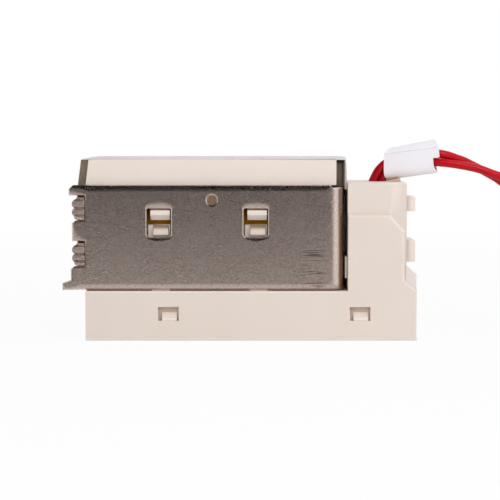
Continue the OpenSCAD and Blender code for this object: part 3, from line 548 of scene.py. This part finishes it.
def sleeveSection(crease, shrink):  # seen from the left end, y to the back and z up
    w, h = sleeve["width"] / 2 - shrink, sleeve["height"] / 2 - shrink
    low = [(w * sin(a), -h + w + -w * cos(a)) for a in [pi / 8 * k for k in range(5)]]
    back = [(w, -h + w + (2 * h - 2 * w) * k / 4) for k in range(1, 4)]
    top = [(w * cos(a), h - w + w * sin(a)) for a in [pi / 9 * k for k in range(4)]]
    (y0, z0), (y1, z1) = (0.3 * w, h), (-w, crease - shrink * 0.4)
    slant = [(y0 + (y1 - y0) * t, z0 + (z1 - z0) * t + 0.25 * sin(pi * t)) for t in (0, 0.3, 0.6, 0.85, 0.94)]
    slant += [(-w + 0.45, z1 - 0.06), (-w, z1 - 0.2)]
    step = sleeve["flapLow"]
    face = [(-w, z) for z in (0.6 * z1 + 0.4 * step, step + 0.04, step - 0.04, 0.6 * step - 0.4 * (h - w),
            0.2 * step - 0.8 * (h - w))]
    curl = [(-w * cos(a), -h + w - w * sin(a)) for a in [pi / 8 * k for k in range(4)]]
    return low + back + top + slant + face + curl


def makeSleeve():
    wide, tilt, last = sleeve["width"] / 2, radians(sleeve["tilt"]), sleeve["stations"] - 1
    place = (Matrix.Translation(Vector(sleeve["mid"]) * mm) @ Matrix.Rotation(radians(sleeve["turn"]), 4, "Z")
            @ Matrix.Rotation(-tilt, 4, "Y"))
    bm = bmesh.new()
    skins = []
    for shrink in (0, sleeve["wall"]):
        rings = []
        for i in range(last + 1):
            t = i / last
            crease, cut = (a + (b - a) * t for a, b in (sleeve["crease"], sleeve["cut"]))
            bulge = 1 + 0.02 * sin(pi * t) - 0.015 * sin(3 * pi * t)
            ring = []
            for y, z in sleeveSection(crease, shrink):
                along = sleeve["length"] * (t - 0.5) + cut * tan(tilt) * z + sleeve["cutNear"] * y  # not cut square
                if i == last:  # the near wall ends in a flap
                    along += sleeve["flap"] * max(0, -y / wide) * (z > sleeve["flapLow"])
                along -= sleeve["backShort"] * max(0, y / wide) * max(0, 2 * t - 1)  # the far wall is cut shorter
                high = z * (1 - sleeve["taperTop"] * (1 - t) if z > 0 else 1 + sleeve["taperLow"] * t)
                ring.append(bm.verts.new(place @ (Vector((along, y * bulge, high)) * mm)))
            rings.append(ring)
        skins.append(rings)
    outer, inner = skins
    count = len(outer[0])
    bands = [(low, high, True) for rings in skins for low, high in zip(rings, rings[1:])]
    for low, high, smooth in bands + [(outer[0], inner[0], False), (outer[-1], inner[-1], False)]:
        for k in range(count):
            n = (k + 1) % count
            bm.faces.new((low[k], low[n], high[n], high[k])).smooth = smooth
    bmesh.ops.recalc_face_normals(bm, faces=bm.faces)
    piece = meshObject("marker_sleeve_skin", meshFrom(bm, "marker sleeve", 50), [sleeveWhite])
    return onHousing(piece, "marker_sleeve")


# cable tie around the hank: a ribbed strap, its head and the cut tail, built by nodes


def nodeTree(name, floats, **others):  # what adds to it, and its named inputs
    tree = bpy.data.node_groups.new(name, "GeometryNodeTree")
    tree.interface.new_socket("Geometry", in_out="OUTPUT", socket_type="NodeSocketGeometry")
    for title, kind in {**others, **dict.fromkeys(floats, "Float")}.items():
        tree.interface.new_socket(title, in_out="INPUT", socket_type="NodeSocket" + kind)
    add = partial(addNode, tree)
    return tree, add, add("NodeGroupInput").outputs


def closeTree(add, shape, material):
    whole = add("GeometryNodeRealizeInstances", {"Geometry": shape})
    add("NodeGroupOutput", {"Geometry": add("GeometryNodeSetMaterial", {"Geometry": whole, "Material": material})})


def fromNodes(name, tree, values, place, start=None):  # a mesh grown by nodes, moved to its place
    piece = meshObject(name, start or bpy.data.meshes.new(name))
    grow = piece.modifiers.new("grow", "NODES")
    grow.node_group = tree
    for socket in tree.interface.items_tree:
        if socket.in_out == "INPUT" and socket.name in values:
            grow[socket.identifier] = values[socket.name]
    applyModifiers(piece)
    piece.data.transform(place)
    piece.data.shade_smooth()
    return piece


tie = dict(loop=[(8.61, 0.36), (13.39, 0.36), (13.39, 12.19), (11.44, 14.29), (8.61, 14.29)], round=0.9, wide=2.4,
    thick=0.43, pitch=0.75, rib=(0.6, 0.35, 1.5), head=(2.1, 3.4), headWide=3.5, headRound=0.4,
    headAt=(14.25, 6.3), tail=(0.43, 1.6, 2.2), tailAt=(14.6, 8.6))


tieSizes = ("round", "wide", "thick", "pitch", "headWide")  # the tree's inputs


def tieTree():
    tree, add, given = nodeTree("cable tie", tieSizes, Geometry="Geometry")
    loop = add("GeometryNodeMeshToCurve", {"Mesh": given["Geometry"]})
    bent = add("GeometryNodeFilletCurve", {"Curve": loop, "Count": 6, "Radius": given["round"]}, mode="POLY")
    section = add("GeometryNodeCurvePrimitiveQuadrilateral", {"Width": given["thick"], "Height": given["wide"]})
    strap = add("GeometryNodeCurveToMesh", {"Curve": bent, "Profile Curve": section})
    spots = add("GeometryNodeResampleCurve", {"Curve": bent, "Length": given["pitch"]}, mode="LENGTH")
    turn = add("FunctionNodeAlignRotationToVector", {"Vector": add("GeometryNodeInputTangent")}, axis="Y")
    rib = add("GeometryNodeMeshCube", {"Size": Vector(tie["rib"]) * mm})
    ribs = add("GeometryNodeInstanceOnPoints", {"Points": spots, "Instance": rib, "Rotation": turn})
    wide, long = (v * mm for v in tie["head"])
    plan = add("GeometryNodeCurvePrimitiveQuadrilateral", {"Width": wide, "Height": long})
    soft = add("GeometryNodeFilletCurve", {"Curve": plan, "Count": 4, "Radius": tie["headRound"] * mm}, mode="POLY")
    filled = add("GeometryNodeFillCurve", {"Curve": soft})
    thick = add("GeometryNodeExtrudeMesh", {"Mesh": filled, "Offset": (0, 0, 1), "Offset Scale": given["headWide"],
            "Individual": False})
    under = add("GeometryNodeFlipFaces", {"Mesh": filled})
    closed, whole = (add("GeometryNodeJoinGeometry") for k in range(2))
    head = add("GeometryNodeTransform", {"Geometry": closed,
            "Translation": Vector((*tie["headAt"], -tie["headWide"] / 2)) * mm})
    stub = add("GeometryNodeMeshCube", {"Size": Vector(tie["tail"]) * mm})
    tail = add("GeometryNodeTransform", {"Geometry": stub, "Translation": Vector((*tie["tailAt"], 0)) * mm})
    for join, parts in ((closed, (thick, under)), (whole, (strap, ribs, head, tail))):
        for part in parts:
            tree.links.new(part.outputs[0], join.inputs[0])
    closeTree(add, whole, blackNylon)
    return tree


def makeTie():
    loop, count = bpy.data.meshes.new("tie loop"), len(tie["loop"])
    loop.from_pydata([Vector((*p, 0)) * mm for p in tie["loop"]], [(i, (i + 1) % count) for i in range(count)], [])
    values = {key: tie[key] * mm for key in tieSizes}
    place = Matrix.Translation(Vector((*leads["hank"], 0)) * mm) @ Matrix.Rotation(pi / 2, 4, "X")
    piece = fromNodes("ribbed_cable_tie", tieTree(), values, place, loop)
    piece.data.set_sharp_from_angle(angle=radians(35))
    print("tie closed:", len(piece.data.polygons), "faces")
    return onHousing(piece, "coil_tie")


sleevePiece, tiePiece = makeSleeve(), makeTie()
makeLeads()
print("leads and sleeve made")

# steel frame: one flat blank with rolled edges, folded into a U

blank = dict(thick=2.0, half=15.0, wallX=26.25, bend=3.4, z0=12.66, z1=38.97, bendDrop=0.6,
    leftEdge=[(-44.5, 12.66, 0.8), (-44.5, 14.35, 0.5), (-42.4, 15.1, 0.6), (-42.4, 18, 0.5), (-41.4, 18.65, 0.5),
        (-38.8, 18.65, 0.42), (-38.8, 24.9, 0.5), (-42.1, 24.9, 1.7), (-42.1, 29.45, 0.7),
        (-41.1, 30.1, 0.5), (-38.8, 30.1, 0.42), (-38.8, 36.35, 0.5), (-42.85, 36.35, 1.3),
        (-42.85, 37.95, 0.5)],
    lowEdge=[(15, 1.6), (0, 1.6), (-15, 1.6), (-30, 1.6), (-40, 1.6), (-42.5, 0.8)],
    topEdge=[(-41.75, 0.8), (-40.6, 0.9), (-37.8, 1.6), (-30, 1.6), (-15, 1.6), (0, 1.6), (15, 1.6), (21.5, 1.6),
        (22.35, 0.9)],
    tongueHalf=11.0, tongueTop=44.97, tongueRound=1.5, relief=0.8, bore=5.15, axis=25.85,
    windows=(-20.3, 4.0), windowSize=(6.05, 7.2), windowZ=29.4, sillRound=0.85, archRound=0.3,
    rollFoot=1.6, rollBend=0.42, rollWindow=0.55, rollArch=1.8, rollSill=1.0,
    shoulder=1.35, rollTongue=0.45, rollBore=0.25, sink=0.6, rollSteps=7, margin=0.08,
    burr=0.12, inner=0.2,
    dimple=dict(at=(-7.05, 35.2), radius=1.4, sides=28,  # rings of depth and growth
        outside=[(0, 0.3), (0, 0.24), (0.04, 0.14), (0.14, 0.04), (0.42, 0), (0.5, -0.1), (0.5, -0.2)],
        inside=[(2.0, 0.1), (2.0, 0), (2.4, 0), (2.5, -0.1), (2.5, -0.2)]))
wallHalf, bendRun = blank["half"] - blank["bend"], blank["bend"] * pi / 2
plateRun = wallHalf + bendRun + blank["wallX"] - blank["bend"]  # less x: a plate point's way along the blank


def foldBlank(s, z, depth):  # s runs along the blank, 0 in the middle of the end wall
    side, a = (1 if s > 0 else -1), abs(s)
    start = blank["wallX"] - blank["bend"]
    if a <= wallHalf:
        return Vector((blank["wallX"] - depth, s, z)) * mm
    if a <= wallHalf + bendRun:
        turn = (a - wallHalf) / blank["bend"]
        r = blank["bend"] - depth
        return Vector((start + r * sin(pi / 2 - turn), side * (wallHalf + r * sin(turn)), z)) * mm
    return Vector((start - (a - wallHalf - bendRun), side * (blank["half"] - depth), z)) * mm


def offsetPoint(prev, here, after, width):  # moves a corner to the left of its path, into the material
    d1, d2 = Vector(here) - Vector(prev), Vector(after) - Vector(here)
    n1, n2 = Vector((-d1.y, d1.x)).normalized(), Vector((-d2.y, d2.x)).normalized()
    return Vector(here) + (n1 + n2) * (width / max(0.35, (1 + n1.dot(n2))))


def blankOutline():  # along, height and roll, from the foot of the end wall over the front plate to the tongue's top
    bends = [wallHalf + bendRun * i / 8 for i in range(9)]
    z0, z1, tongue = blank["z0"], blank["z1"], blank["rollTongue"]
    half = [(s, z0, blank["rollFoot"]) for s in [0] + bends]
    edge = [(x, z0, w) for x, w in blank["lowEdge"]] + blank["leftEdge"] + [(x, z1, w) for x, w in blank["topEdge"]]
    half += [(plateRun - x, z, w) for x, z, w in edge]
    r, h = blank["relief"], blank["tongueHalf"]
    half += [(s, z1 - blank["bendDrop"], blank["rollBend"]) for s in bends[:0:-1] if s > h + 2 * r]
    half += [(h + r + r * cos(a), z1 - r * sin(a), tongue) for a in [radians(50 + 130 * k / 6) for k in range(7)]]
    q, t = blank["tongueRound"], blank["tongueTop"]
    half += [(h - q + q * cos(a), t - q + q * sin(a), tongue) for a in [pi / 12 * k for k in range(7)]]
    return half + [(0, t, tongue)]


def windowLoop(s0):
    wide, tall = (v / 2 for v in blank["windowSize"])
    z0, sill, arch, ring = blank["windowZ"], blank["sillRound"], blank["archRound"], []
    for cx, cz, start, r in ((1, -1, 0, sill), (-1, -1, -90, sill), (-1, 1, -180, arch), (1, 1, -270, arch)):
        for k in range(5):  # corners, clockwise
            a, roll = radians(start - 22.5 * k), blank["rollWindow"]
            if cz > 0:
                roll += (blank["shoulder"] - roll) * (k if cx < 0 else 4 - k) / 4
            ring.append((s0 + cx * (wide - r) + r * cos(a), z0 + cz * (tall - r) + r * sin(a), roll))
        for t in [k / 8 for k in range(1, 8)]:  # along the edge, the roll is widest in the middle above and below
            if (cx, cz) == (1, -1):
                roll = blank["rollWindow"] + (blank["rollSill"] - blank["rollWindow"]) * sin(pi * t)
                ring.append((s0 + (wide - r) * (1 - 2 * t), z0 - tall, roll))
            if (cx, cz) == (-1, 1):
                roll = blank["shoulder"] + (blank["rollArch"] - blank["shoulder"]) * sin(pi * t)
                ring.append((s0 - (wide - r) * (1 - 2 * t), z0 + tall, roll))
    return ring


def blankLoops():
    half, bore = blankOutline(), blank["bore"]
    loops = [half[:-1] + [(-s, z, w) for s, z, w in half[:0:-1]]]
    loops.append([(bore * c, blank["axis"] - bore * s, blank["rollBore"]) for c, s in circle(32)])
    return loops + [windowLoop(side * (plateRun - x)) for x in blank["windows"] for side in (-1, 1)]


def inLoop(point, loop):
    inside = False
    for i, (x1, y1) in enumerate(loop):
        x0, y0 = loop[i - 1]
        if (y0 > point[1]) != (y1 > point[1]) and point[0] < (x1 - x0) * (point[1] - y0) / (y1 - y0) + x0:
            inside = not inside
    return inside


def fillFace(bm, loops, ribs, flip):  # triangles between the outline and its holes
    flatPoints, verts, edges = [], [], []
    for loop in loops:
        first = len(flatPoints)
        flatPoints += [Vector(p) for p, v in loop]
        verts += [v for p, v in loop]
        edges += [(first + i, first + (i + 1) % len(loop)) for i in range(len(loop))]
    points, _, triangles, origin, _, _ = delaunay_2d_cdt(flatPoints, edges + ribs, [], 0, 1e-7)
    outlines = [[tuple(p) for p, v in loop] for loop in loops]
    for tri in triangles:
        mid = sum((points[i] for i in tri), Vector((0, 0))) / 3
        if inLoop(mid, outlines[0]) and not any(inLoop(mid, hole) for hole in outlines[1:]):
            corners = [verts[origin[i][0]] for i in tri]
            bm.faces.new(corners[::-1] if flip else corners).smooth = True


def rollEdges(bm, loop):  # bands from the outer face over the rolled edge to the inner face
    thick, sink, steps, burr = blank["thick"], blank["sink"], blank["rollSteps"], blank["burr"]
    count, rings = len(loop), []

    def addRing(offset, depth):  # offset and depth of a point follow its own roll width
        points = []
        for i, (s, z, w) in enumerate(loop):
            p = offsetPoint(loop[i - 1][:2], (s, z), loop[(i + 1) % count][:2], offset(w))
            points.append((p, bm.verts.new(foldBlank(p.x, p.y, depth(w)))))
        rings.append(points)

    addRing(lambda w: w + blank["margin"], lambda w: 0)
    for k in range(steps + 1):
        a = pi / 2 * k / steps
        addRing(lambda w: w * (1 - sin(a)), lambda w: sink * w * (1 - cos(a)))
    wall = len(rings) - 1
    for offset, depth in ((0, thick - burr), (burr, thick), (blank["inner"], thick)):
        addRing(lambda w: offset, lambda w: depth)
    for n, (low, high) in enumerate(zip(rings, rings[1:])):
        for i in range(count):
            j = (i + 1) % count
            face = bm.faces.new((low[i][1], high[i][1], high[j][1], low[j][1]))
            face.smooth = True
            face.material_index = 1 if n == wall else 0
    return rings[0], rings[-1]


def pressDimple(bm, s0, profile, outward):  # sunk outside, standing out inside; returns its widest ring
    spec, rings = blank["dimple"], []
    for depth, grow in profile:
        r = spec["radius"] + grow
        points = [Vector((s0 + r * c, spec["at"][1] - r * s)) for c, s in circle(spec["sides"])]
        rings.append([(p, bm.verts.new(foldBlank(p.x, p.y, depth))) for p in points])
    for low, high in zip(rings, rings[1:]):
        for k in range(spec["sides"]):
            n = (k + 1) % spec["sides"]
            quad = [low[k][1], high[k][1], high[n][1], low[n][1]]
            bm.faces.new(quad if outward else quad[::-1]).smooth = True
    cap = [v for p, v in rings[-1]]
    disc = bm.faces.new(cap[::-1] if outward else cap)
    disc.smooth = True
    disc.material_index = 2 if outward else 0
    return rings[0]


def makeFrame():
    bm = bmesh.new()
    loops = blankLoops()
    outerLoops, innerLoops = (list(rings) for rings in zip(*[rollEdges(bm, loop) for loop in loops]))
    for side in (-1, 1):
        s0 = side * (plateRun - blank["dimple"]["at"][0])
        outerLoops.append(pressDimple(bm, s0, blank["dimple"]["outside"], True))
        innerLoops.append(pressDimple(bm, s0, blank["dimple"]["inside"], False))
    ends, tiny = (blank["z0"], blank["z1"] - blank["bendDrop"]), 1e-6
    pairs = {}
    for i, (s, z, w) in enumerate(loops[0]):  # straight lines up the bends keep the fold smooth
        if wallHalf - tiny <= abs(s) <= wallHalf + bendRun + tiny and min(abs(z - end) for end in ends) < tiny:
            pairs.setdefault(round(s, 4), []).append(i)
    ribs = [tuple(pair) for pair in pairs.values() if len(pair) == 2]
    fillFace(bm, outerLoops, ribs, False)
    fillFace(bm, innerLoops, ribs, True)
    bmesh.ops.recalc_face_normals(bm, faces=bm.faces)
    mesh = meshFrom(bm, "steel frame", 40)
    piece = meshObject("folded_steel_frame", mesh, [nickelPlate, cutSteel, pressedSteel])
    onHousing(piece, "steel_frame")


makeFrame()
print("steel frame folded")

# moulded and flat pieces: the drawn solids with their sharp edges broken

broken = dict(flat=0.6, sharp=28, split=60, widest=1.2)


def softCopy(node, name, materials, width, segments=3, shortest=0.55, special=None, cuts=(), nudge=None):
    bm = bmesh.new()
    bm.from_mesh(nodes[node].data)
    for vert in bm.verts if nudge else ():  # small shifts towards the photo
        vert.co += Vector(nudge(vert.co / mm)) * mm
    bmesh.ops.remove_doubles(bm, verts=bm.verts, dist=1e-6)
    for point, normal in cuts:  # faces around a hole are split through its middle
        found = bmesh.ops.bisect_plane(bm, geom=bm.verts[:] + bm.edges[:] + bm.faces[:], plane_co=Vector(point) * mm,
                plane_no=normal)
        for part in found["geom_cut"]:
            if isinstance(part, bmesh.types.BMEdge):
                part.seam = True
    bmesh.ops.dissolve_limit(bm, angle_limit=radians(broken["flat"]), verts=bm.verts, edges=bm.edges, delimit={"SEAM"})
    weight = bm.edges.layers.float.new("bevel_weight_edge")
    for edge in bm.edges:
        sharp = len(edge.link_faces) == 2 and edge.calc_face_angle_signed() > radians(broken["sharp"])
        own = special(*(v.co / mm for v in edge.verts)) if special and sharp else None
        if own is not None or (sharp and edge.calc_length() > shortest * mm):
            edge[weight] = (width if own is None else own) / broken["widest"]
    for face in bm.faces:
        face.smooth = True
    piece = meshObject(name, meshFrom(bm, name, broken["split"]), materials)
    bevel = piece.modifiers.new("broken edges", "BEVEL")
    bevel.limit_method = "WEIGHT"
    bevel.width = broken["widest"] * mm
    bevel.segments = segments
    bevel.use_clamp_overlap = False
    piece.modifiers.new("flat faces", "WEIGHTED_NORMAL").keep_sharp = True
    applyModifiers(piece)
    return onHousing(piece, node)


mould = dict(towerTop=0.65, foot=0.06, rightEnd=0.6, apron=1.1, railTop=0.42,  # widths of its own edges
    railDown=0.04, padDown=0.19, endOut=0.6, endDown=0.5, lugOut=0.25, lugDown=0.4)


def baseEdge(a, b):  # told apart by where both ends and the middle lie
    mid = (a + b) / 2
    if max(abs(a.x - 41.43), abs(b.x - 41.43)) < 0.14 and abs(mid.y) < 14.4 and 12 < mid.z < 17.6:
        return 0  # the narrow step beside the bottom's ears stays sharp
    if min(a.z, b.z) > 12.6 and max(a.z, b.z) < 12.7:
        return 0  # so do the low rest pads
    if min(a.z, b.z) > 39.55 and not (abs(mid.y) < 4.2 and 30 < mid.x < 41.3):
        return mould["towerTop"]
    if min(abs(a.y), abs(b.y)) > 15.45:
        if mid.z < 0.95:
            return mould["foot"]
        if min(a.x, b.x) > 43.6:
            return mould["rightEnd"]
        if mid.x > 27.2 and mid.z > 12.6:
            return mould["apron"]
        if mid.z > 12.2:
            return mould["railTop"]
    return None


def baseNudge(p):  # the rail's pads and the lugs' tops lie a little lower, its right end reaches the bottom's
    if 12.4 < p.z < 12.9 and p.x < 27.1:
        return (0, 0, -mould["railDown" if p.z < 12.6 else "padDown"])
    if p.x > 43.6 and p.z < 14:
        return (mould["endOut"], 0, -mould["endDown"] if p.z > 13 else 0)
    out = mould["lugOut"] if abs(p.x - 44.25) < 0.03 else 0
    lugTop = p.x > 40 and abs(p.y) < 7.6 and (abs(p.z - 25.1) < 0.03 or abs(p.z - 36.2) < 0.03)
    return (out, 0, -mould["lugDown"] if lugTop else 0)


def hookNudge(p):  # the snap hooks reach the lower edge of their pockets
    return (0, 0, -0.1 if abs(p.z - 5.1) < 0.02 and abs(p.y) > 15.2 else 0)


def labelNudge(p):  # the fold fills the corner over the end wall's tongue
    if 26.4 < p.x < 26.6 and p.z < 40:
        return (-0.24, 0, 0)
    return (0, 0, -0.3 if 26.2 < p.x < 26.3 and p.z > 40 else 0)


def paintFaces(piece, boxes):  # faces whose middle lies in a range of x, of y to either side, and of z
    for index, *ranges in boxes:
        for face in piece.data.polygons:
            x, y, z = face.center / mm
            if all(low < v < high for v, (low, high) in zip((x, abs(y), z), ranges)):
                face.material_index = index


far = 99
outlet = (35.1, 0, 0)
base = softCopy("base_housing", "moulded_base", [creamNylon, tanNylon, deepNylon, coverNylon, clipNylon],
    0.22, segments=4, special=baseEdge, nudge=baseNudge,
    cuts=[(outlet, (1, 0, 0)), (outlet, (0, 1, 0))])
paintFaces(base, [(1, (37.5, 41.2), (-1, 4.2), (39.62, far)),  # lip beside the outlet: painted shade under the sleeve, with red bounce from the leads
        (1, (26.9, 27.02), (-1, far), (12.4, 38.95)),  # the tower's side in the gap: painted shade
        (2, (-20.95, -15.55), (13.5, 15.3), (4.9, 8.5)),  # snap pockets: painted shade
        (2, (27.05, 32.45), (13.5, 15.3), (4.9, 8.5)),
        (2, (-far, 12), (12.5, 14.9), (25, 30)),  # clip arms and clips in the windows: painted shade
        # the clips' faces: painted shade and painted tape reflection towards their tops
        (4, (-far, 12), (12.95, 14.9), (25, 30)),
        (3, (-far, 27), (15.04, far), (11.9, 12.7)),  # the rail's top edge: painted highlight in the paler cream
        (3, (42.25, far), (-1, 7.7), (19, 37))])  # lugs: painted light in the paler cream
bottom = softCopy("bottom_cover", "moulded_bottom", [whiteNylon, deepNylon, hookNylon], 0.1,
    nudge=hookNudge)
paintFaces(bottom, [(1, (-far, 36), (13.7, far), (4, 9.5)),  # behind the hooks: painted shade
        (2, (-far, 36), (13.95, far), (4.9, 7.2))])  # the hooks: painted light on their slopes
softCopy("top_cover", "moulded_top", [coverNylon], 0.2)
middle = (0, 0, blank["axis"])
endPlate = softCopy("end_plate", "staked_end_plate", [yellowZinc, stakedZinc], 0.15,
    cuts=[(middle, (0, 0, 1)), (middle, (0, 1, 0))])
paintFaces(endPlate, [(1, (-far, far), (13.2, far), (-far, far))])  # staked tabs
softCopy("top_label", "label_blank", [labelWhite], 0.1, shortest=0.2, nudge=labelNudge,
    special=lambda a, b: 0.03 if max(a.x, b.x) < -36.5 else None)  # its thin left end
print("housing pieces made")

# return spring: a coil with closed ends, built by nodes

spring = dict(x0=-23.15, x1=-5.8, axis=25.85, diameter=5.2, wire=0.5, turns=10, steps=28, keep=0.654,
    sides=10, lie=1.04)


def springTree():
    tree, add, given = nodeTree("return spring", ("length", "radius", "wire", "turns"), points="Int")
    line = add("GeometryNodeCurvePrimitiveLine")
    points = add("GeometryNodeResampleCurve", {"Curve": line, "Count": given["points"]})
    known = {**dict(given.items()), "way": add("GeometryNodeSplineParameter")}
    sums = [("turn", "MULTIPLY", "way", "turns"), ("angle", "MULTIPLY", "turn", 2 * pi), ("cosine", "COSINE", "angle"),
            ("sine", "SINE", "angle"), ("y", "MULTIPLY", "radius", "cosine"), ("z", "MULTIPLY", "radius", "sine"),
            ("lie", "MULTIPLY", "wire", spring["lie"]), ("closed", "MULTIPLY", "lie", 3.0),  # rise of closed turns
            ("free", "SUBTRACT", "length", "closed"), ("last", "SUBTRACT", "turns", 1.0),
            ("start", "MULTIPLY", "lie", 0.5), ("wireRadius", "MULTIPLY", "wire", 0.5)]
    for name, operation, *terms in sums:
        known[name] = add("Math", {i: known.get(term, term) for i, term in enumerate(terms)}, operation=operation)
    along = known["start"]
    for low, high, rise in ((0.0, 1.0, "lie"), (1.0, "last", "free"), ("last", "turns", "lie")):
        part = add("MapRange", {"Value": known["turn"], "From Min": known.get(low, low),
                "From Max": known.get(high, high), "To Max": known[rise]})
        along = add("Math", {0: along, 1: part}, operation="ADD")
    place = add("CombineXYZ", {"X": along, "Y": known["y"], "Z": known["z"]})
    coil = add("GeometryNodeSetPosition", {"Geometry": points, "Position": place})
    section = add("GeometryNodeCurvePrimitiveCircle", {"Resolution": spring["sides"], "Radius": known["wireRadius"]})
    wire = add("GeometryNodeCurveToMesh", {"Curve": coil, "Profile Curve": section, "Fill Caps": True})
    closeTree(add, wire, springSteel)
    return tree


springValues = dict(length=(spring["x1"] - spring["x0"]) * mm, wire=spring["wire"] * mm,
    radius=(spring["diameter"] - spring["wire"]) / 2 * mm, turns=float(spring["turns"]),
    points=spring["turns"] * spring["steps"] + 1)
coil = fromNodes("closed_coil_spring", springTree(), springValues,
    Matrix.Translation(Vector((spring["x0"], 0, spring["axis"])) * mm))
onHousing(coil, "return_spring")
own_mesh(coil)
print("spring wound:", len(coil.data.polygons), "faces")

# pieces that keep the drawn solid

finishes = {"bobbin": blackNylon, "coil_winding": copperWire, "coil_tape": tapeFilm, "guide_tube": brass,
    "pole_piece": softIron, "plunger": softIron, "push_rod": springSteel, "retaining_ring": darkSteel,
    "coil_pins": tinnedCopper, "circuit_board": greenMask, "rectifier": blackEpoxy, "varistor": blueEpoxy,
    "capacitor": canSleeve, "lead_terminals": brass}
for node, material in finishes.items():
    mesh = nodes[node].data
    mesh.materials.clear()
    mesh.materials.append(material)
print("finishes:", len(finishes))
